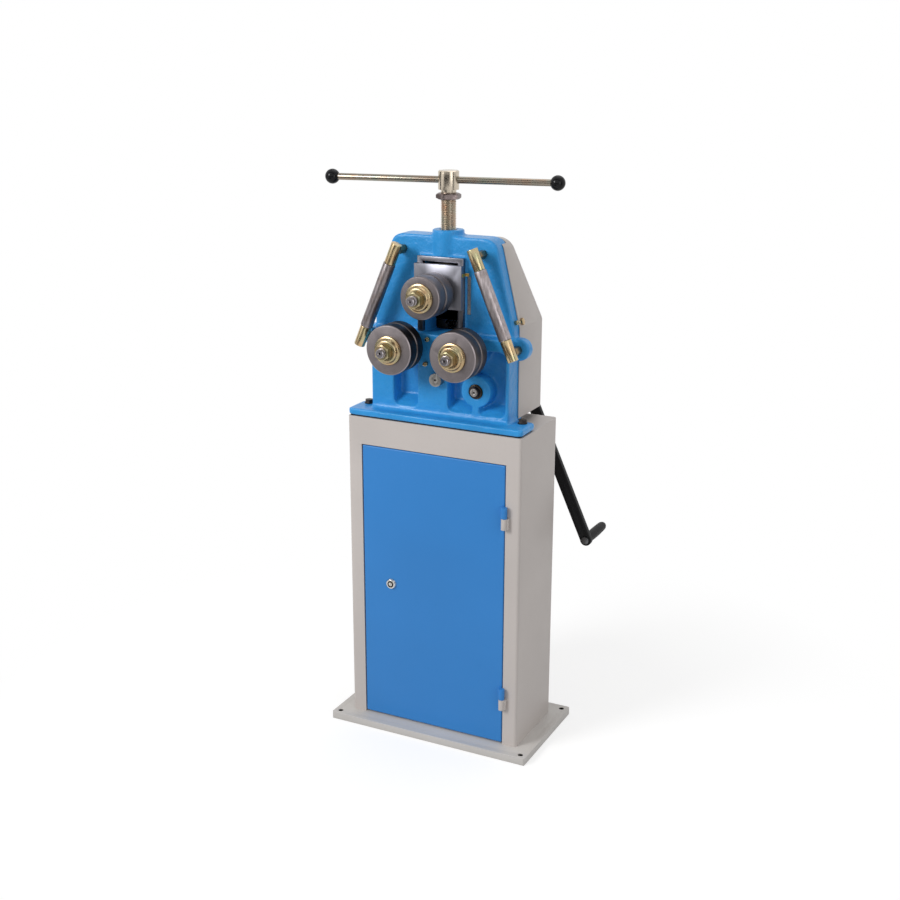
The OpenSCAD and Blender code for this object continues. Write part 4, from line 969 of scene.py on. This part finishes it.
class BENDER_OT_roll_nuts(bpy.types.Operator):
    """Hexagon nuts with turned-down corners on the roll shafts"""

    bl_idname = "bender.roll_nuts"
    bl_label = "Roll nuts"

    def execute(self, context):
        shades, _, _ = settings()
        gold = plating("yellow zinc nuts", shades.zinc, 0.30)
        pattern = hexagon(NUT_ACROSS, NUT_TALL, TIP_RADIUS)
        for side, centre in ROLLS.items():
            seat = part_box(side + "_cap_washer")[0].y
            node = "upper_nut" if side == "upper" else side + "_nuts"
            pieces = [on_axis(copied(pattern), centre, seat)]
            if side != "upper":
                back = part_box(side + "_gear")[1].y
                inner = WASHER_RADIUS - BOLT_EDGE
                washer = lathe([
                    (WASHER_BORE, 0), (inner, 0), (WASHER_RADIUS, BOLT_EDGE),
                    (WASHER_RADIUS, WASHER_TALL - BOLT_EDGE), (inner, WASHER_TALL),
                    (WASHER_BORE, WASHER_TALL),
                ])
                rear = hexagon(NUT_ACROSS, REAR_NUT_TALL, TIP_RADIUS)
                pieces.append(on_axis(washer, centre, back, TO_BACK))
                pieces.append(on_axis(rear, centre, back + WASHER_TALL, TO_BACK))
            keep(joined(pieces), side + "_hexagon_nuts", BODY_OF[node], "zinc_yellow", gold, node)
        bpy.data.objects.remove(pattern)
        return {"FINISHED"}


class BENDER_OT_slide(bpy.types.Operator):
    """Ground finish and eased edges on the press slide and its scale"""

    bl_idname = "bender.slide"
    bl_label = "Press slide"

    def execute(self, context):
        shades, sizes, _ = settings()
        ground = ground_steel("ground slide steel", shades.ground)
        dark = black_steel("blackened slide steel", shades.black_oxide)
        rounded("slide_block", ground, sizes.edge)
        rounded("slide_keeper", dark, sizes.edge)
        brass = turned("pointer brass", (0.62, 0.42, 0.12), 0.30, "Z")
        rounded("scale_pointer", brass, POINTER_EDGE)
        paint(dark, "keeper_screws", "screw_keeper", "upper_retainer")
        paint(ruled_scale("ruled steel", (0.60, 0.60, 0.60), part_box("scale_strip")), "scale_strip")
        return {"FINISHED"}


class BENDER_OT_press_screw(bpy.types.Operator):
    """Cut the press screw's thread and dress its hub, jam nut and bar"""

    bl_idname = "bender.press_screw"
    bl_label = "Press screw"

    def execute(self, context):
        shades, sizes, _ = settings()
        worn = plating("oiled screw plating", tint(shades.pale_zinc, 1.12), 0.30)
        hub_gold = turned("plated hub", tint(shades.pale_zinc, 1.3), 0.22, "Z", 0.12)
        dark = black_steel("browned jam nut", (0.17, 0.135, 0.13), 0.36)
        low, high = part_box("press_screw")
        jam_low, jam_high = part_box("jam_nut")
        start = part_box("slide_block")[1].z - SCREW_SINK
        rod = thread(SCREW_RADIUS, SCREW_DEPTH, sizes.screw_pitch, start, jam_high.z, 56)
        flange = low.z + FLANGE_TALL
        core = lathe([
            (0, low.z), (FLANGE_RADIUS, low.z), (FLANGE_RADIUS, flange), (NECK_RADIUS, flange),
            (NECK_RADIUS, start + MM), (0, start + MM),
        ])
        foot = jam_high.z - MM
        spigot = lathe([(0, foot), (NECK_RADIUS, foot), (NECK_RADIUS, high.z), (0, high.z)])
        screw = put_at(joined([rod, core, spigot]), Matrix.Translation((0, SCREW.y, 0)))
        keep(screw, "press_screw_thread", "screw", "zinc_yellow", worn, "press_screw")
        jam = hexagon(jam_high.y - jam_low.y, jam_high.z - jam_low.z, SCREW_RADIUS - SCREW_FIT)
        put_at(jam, Matrix.Translation((0, SCREW.y, jam_low.z)) @ Matrix.Rotation(JAM_TURN, 4, "Z"))
        keep(jam, "jam_nut_dressed", "screw", "dark_steel", dark, "jam_nut")
        rounded("screw_hub", hub_gold, TUBE_EDGE, 3)
        rounded("tommy_bar", plating("plated bar", tint(shades.pale_zinc, 0.62), 0.28), sizes.edge)
        paint(phenolic("black phenolic", shades.black), "tommy_balls")
        return {"FINISHED"}


class BENDER_OT_guides(bpy.types.Operator):
    """Finish the side guides"""

    bl_idname = "bender.guides"
    bl_label = "Side guides"

    def execute(self, context):
        shades, _, _ = settings()
        gold = plating("ferrule plating", tint(shades.zinc, 1.3), 0.25)
        rounded("guide_ferrules", gold, FERRULE_EDGE, 3)
        # The studs' zinc is tinted darker: painted shade
        rounded("guide_studs", plating("stud plating painted shade", tint(shades.zinc, 0.6), 0.34), STUD_EDGE)
        paint(turned("guide rod steel", (0.40, 0.38, 0.36), 0.3, "Z"), "guide_rods")
        # The left tube is tinted darker and the right lighter: painted light and shade
        for side, painted_light in (("left", 0.95), ("right", 1.22)):
            axis = AXES[side + "_guide_turn"]
            finish = drawn_tube(side + " guide tube steel", tint(shades.tube, painted_light), axis)
            rounded(side + "_guide_tube", finish, TUBE_EDGE, 3)
        return {"FINISHED"}


class BENDER_OT_crank(bpy.types.Operator):
    """Finish the crank and mould its grip"""

    bl_idname = "bender.crank"
    bl_label = "Crank"

    def execute(self, context):
        shades, sizes, _ = settings()
        black = black_lacquer("black crank paint", shades.black, 0.42, 500, 0.08 * MM)
        moulded = black_lacquer("moulded grip", shades.black, 0.50, 900, 0.06 * MM)
        steel = skinned("crank shaft steel", (0.40, 0.38, 0.37), shades.black_oxide, CRANK, 8 * MM)
        rounded("crank_arm", black, HEAVY_EDGE, 3)
        rounded("crank_shaft", steel, sizes.edge)
        rounded("crank_fasteners", turned("dark fasteners", (0.13, 0.13, 0.135), 0.32), BOLT_EDGE)
        self.clip(black_steel("blackened clip", shades.black_oxide))
        self.grip(moulded)
        return {"FINISHED"}

    def grip(self, moulded):
        """The turning grip, with a slim belly and rounded ends."""
        low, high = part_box("crank_grip")
        long = high.y - low.y
        bore = 5.1 * MM
        end = 10.0 * MM
        belly = (high.x - low.x) / 2 * GRIP_BELLY
        rim = [(bore, 0), (end - 1.4 * MM, 0), (end - 0.4 * MM, 0.5 * MM), (end, 1.6 * MM)]
        ring = list(rim)
        for step in range(1, 20):
            share = step / 20
            ring.append((end + (belly - end) * math.sin(math.pi * share) ** 0.8, long * share))
        ring += [(radius, long - height) for radius, height in reversed(rim)]
        grip = on_axis(lathe(ring, 48), GRIP, high.y)
        keep(grip, "crank_grip_moulded", "grip", "black_grip", moulded, "crank_grip")

    def clip(self, dark):
        """The black ring that holds the crank shaft at the casting's front."""
        ring = on_axis(lathe(in_mm(CLIP), 56), CRANK, BLOCK_Y - CLIP_GAP)
        keep(ring, "crank_clip", "crank", "dark_steel", dark)


class BENDER_OT_gears(bpy.types.Operator):
    """Finish the gear train and the bushes"""

    bl_idname = "bender.gears"
    bl_label = "Gears"

    def execute(self, context):
        _, sizes, _ = settings()
        cut = black_steel("cut gear steel", (0.10, 0.10, 0.105), 0.36)
        for node in ("left_gear", "right_gear", "idler_gear", "crank_pinion"):
            rounded(node, cut, TOOTH_EDGE, 1, 60)
        bronze = turned("bearing bronze", (0.42, 0.26, 0.10), 0.33)
        paint(bronze, "lower_bushes", "crank_bush", "upper_bushes")
        rounded("idler_pin", turned("idler pin steel", (0.34, 0.33, 0.315), 0.36), sizes.edge)
        return {"FINISHED"}


class BENDER_OT_fittings(bpy.types.Operator):
    """Bolts, grease nipples and the lock"""

    bl_idname = "bender.fittings"
    bl_label = "Fittings"

    def execute(self, context):
        shades, _, _ = settings()
        dark = black_steel("blackened bolts", shades.black_oxide)
        nickel = turned("nickel plating", (0.66, 0.65, 0.62), 0.20)
        rounded("flange_bolts", dark, BOLT_EDGE)
        gold = plating("nipple plating", shades.zinc, 0.24)
        rounded("cover_bolts", gold, STUD_EDGE)
        rounded("lock_body", nickel, LOCK_EDGE)
        paint(nickel, "lock_plug", "lock_cam")
        self.groove_shade(dark)
        self.nipples(gold)
        return {"FINISHED"}

    def groove_shade(self, dark):
        """A dark ring of painted shade in the recess between the lock's collar and its plug."""
        low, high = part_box("lock_plug")
        plug = (high.x - low.x) / 2
        inner = plug * 0.78
        outer = plug + 1.5 * MM
        # Blackened ring set in the recess: painted shade
        ring = lathe([(inner, 0.8 * MM), (outer, 0.3 * MM), (outer, 0.6 * MM), (inner, 1.1 * MM)], 48)
        on_axis(ring, (low + high) / 2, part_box("lock_body")[0].y)
        keep(ring, "lock_groove", "door", "plated_steel", dark)

    def nipples(self, gold):
        """Grease nipples with a hexagon and a waisted ball end."""
        pattern = joined([hexagon(*NIPPLE_HEXAGON), lathe(in_mm(NIPPLE), 28)])
        copies = []
        for spot, turn in NIPPLES:
            place = Matrix.Translation(Vector(spot) * MM)
            copies.append(put_at(copied(pattern), place @ turn))
        bpy.data.objects.remove(pattern)
        keep(joined(copies), "grease_nipples_dressed", "frame", "zinc_yellow", gold, "grease_nipples")


class BENDER_OT_stage(bpy.types.Operator):
    """Floor, light and camera"""

    bl_idname = "bender.stage"
    bl_label = "Studio"

    def execute(self, context):
        _, _, stage = settings()
        context.scene.view_settings.view_transform = "Standard"
        self.floor()
        self.world(stage.ambient)
        self.lamp("key", (-2.1, -3.3, 2.7), (0, 0, 0.7), stage.key, 1.7)
        self.lamp("fill", (3.2, -1.6, 1.6), (0, 0, 0.7), stage.fill, 2.4)
        self.lamp("top", (0.2, 1.0, 3.6), (0, 0, 0.8), stage.top, 2.4)
        upright = math.radians(90)
        self.card("front", (0.6, -4.6, 0.5), (6.0, 2.1), (upright, 0, 0))
        self.card("right", (2.9, -0.6, 1.0), (0.9, 2.6), (upright, 0, upright))
        self.card("left", (-2.9, -0.9, 1.0), (0.9, 2.6), (upright, 0, upright))
        self.card("near_left", (-1.7, -3.9, 1.1), (0.5, 2.4), (upright, 0, math.radians(-24)))
        self.card("top", (0, -1.3, 3.2), (5.0, 0.8), (0, 0, 0))
        self.card("floor", (-1.2, -2.5, 0.01), (2.6, 2.0), (0, 0, 0))
        self.camera(stage)
        return {"FINISHED"}

    def floor(self):
        """A white floor that keeps the shadow, painted near-black under the floor plate as painted shade seen
        through its bolt holes.
        """
        deselect()
        bpy.ops.mesh.primitive_plane_add(size=24, location=(0, 0, -0.4 * MM))
        floor = bpy.context.object
        bpy.ops.object.transform_apply()
        edit_all(floor)
        bpy.ops.mesh.subdivide(number_cuts=3)
        close_edit()
        floor.name = "studio_floor"
        finish = Finish("studio floor")
        finish.tree.nodes.remove(finish.shader)
        seen = finish.seen()
        away = finish.node("ShaderNodeVectorMath", {"operation": "LENGTH"}, {0: finish.spot}, out="Value")
        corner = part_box("base_plate")[1]
        # Under the floor plate: near-black and without glow, painted shade for the bolt holes
        under = (abs(finish.part("X")) < corner.x - MM) * (abs(finish.part("Y")) < corner.y - MM)
        shade = finish.mix(under, (0.5, 0.5, 0.5), (0.01, 0.01, 0.01))
        matte = finish.node("ShaderNodeBsdfDiffuse", None, {"Color": shade})
        glow, white = (
            finish.node("ShaderNodeEmission", None, {"Color": (1, 1, 1), "Strength": strength})
            for strength in (0.60, 1.0)
        )
        lit = finish.node("ShaderNodeAddShader", None, {0: matte, 1: glow})
        near = finish.node("ShaderNodeMixShader", None, {0: seen * (1 - under), 1: matte, 2: lit})
        far = away.over(0.55, 1.1) * seen
        both = finish.node("ShaderNodeMixShader", None, {0: far, 1: near, 2: white})
        finish.put(finish.tree.nodes["Material Output"].inputs["Surface"], both)
        floor.data.materials.append(finish.material)

    def world(self, ambient):
        """White all round for the eye and for metal, and a plain soft light for the rest."""
        world = bpy.data.worlds.new("studio")
        bpy.context.scene.world = world
        sky = Tree(world)
        back = sky.tree.nodes["Background"]
        seen = sky.seen()
        sky.put(back.inputs["Color"], (1, 1, 1))
        sky.put(back.inputs["Strength"], seen.maths("MAXIMUM", seen, ambient))

    def card(self, name, place, size, turn):
        """A dark card out of the picture, for metal to reflect."""
        deselect()
        bpy.ops.mesh.primitive_plane_add(size=1, location=place, rotation=turn)
        card = bpy.context.object
        card.scale = (*size, 1)
        bpy.ops.object.transform_apply()
        card.name = "studio_" + name + "_card"
        finish = Finish("studio card")
        cloth = finish.noise(30, 2)
        finish.set(base=finish.mix(cloth, (0.02, 0.02, 0.02), (0.04, 0.04, 0.04)), rough=0.9)
        card.data.materials.append(finish.material)
        card.visible_camera = False
        card.visible_diffuse = False
        card.visible_shadow = False

    def aim(self, place, target):
        """The turn from a place to a target."""
        return (Vector(target) - Vector(place)).to_track_quat("-Z", "Y")

    def lamp(self, name, place, target, watts, size):
        """One soft area light."""
        deselect()
        bpy.ops.object.light_add(type="AREA", location=place)
        lamp = bpy.context.object
        lamp.name = "studio_" + name
        lamp.data.energy = watts
        lamp.data.shape = "DISK"
        lamp.data.size = size
        lamp.rotation_euler = self.aim(place, target).to_euler()

    def camera(self, stage):
        """The camera at the photograph's viewing angle."""
        bpy.ops.object.camera_add(location=stage.camera)
        camera = bpy.context.object
        turn = self.aim(stage.camera, stage.target) @ Matrix.Rotation(stage.roll, 4, "Z").to_quaternion()
        camera.rotation_euler = turn.to_euler()
        camera.data.sensor_width = 36
        camera.data.lens = stage.lens
        bpy.context.scene.camera = camera


OPERATORS = (
    BENDER_OT_stage, BENDER_OT_casting, BENDER_OT_stand, BENDER_OT_rolls, BENDER_OT_roll_nuts,
    BENDER_OT_slide, BENDER_OT_press_screw, BENDER_OT_guides, BENDER_OT_crank, BENDER_OT_gears,
    BENDER_OT_fittings,
)
GROUPS = {"bender_colours": BenderColours, "bender_sizes": BenderSizes, "bender_stage": BenderStage}


class BENDER_PT_panel(bpy.types.Panel):
    """The bender's pieces and settings"""

    bl_label = "Roll bender"
    bl_space_type = "VIEW_3D"
    bl_region_type = "UI"
    bl_category = "Bender"

    def draw(self, context):
        for operator in OPERATORS:
            self.layout.operator(operator.bl_idname)
        for group in GROUPS:
            held = getattr(context.scene, group)
            for name in held.__annotations__:
                self.layout.prop(held, name)


def register():
    """Makes the settings, operators and panel known."""
    for group, kind in GROUPS.items():
        bpy.utils.register_class(kind)
        setattr(bpy.types.Scene, group, bpy.props.PointerProperty(type=kind))
    for kind in (*OPERATORS, BENDER_PT_panel):
        bpy.utils.register_class(kind)


def unregister():
    """Takes them away again."""
    for kind in (BENDER_PT_panel, *reversed(OPERATORS)):
        bpy.utils.unregister_class(kind)
    for group, kind in GROUPS.items():
        delattr(bpy.types.Scene, group)
        bpy.utils.unregister_class(kind)


def main():
    """Builds the whole scene."""
    register()
    for operator in OPERATORS:
        family, name = operator.bl_idname.split(".")
        getattr(getattr(bpy.ops, family), name)()


if __name__ == "__main__":
    main()
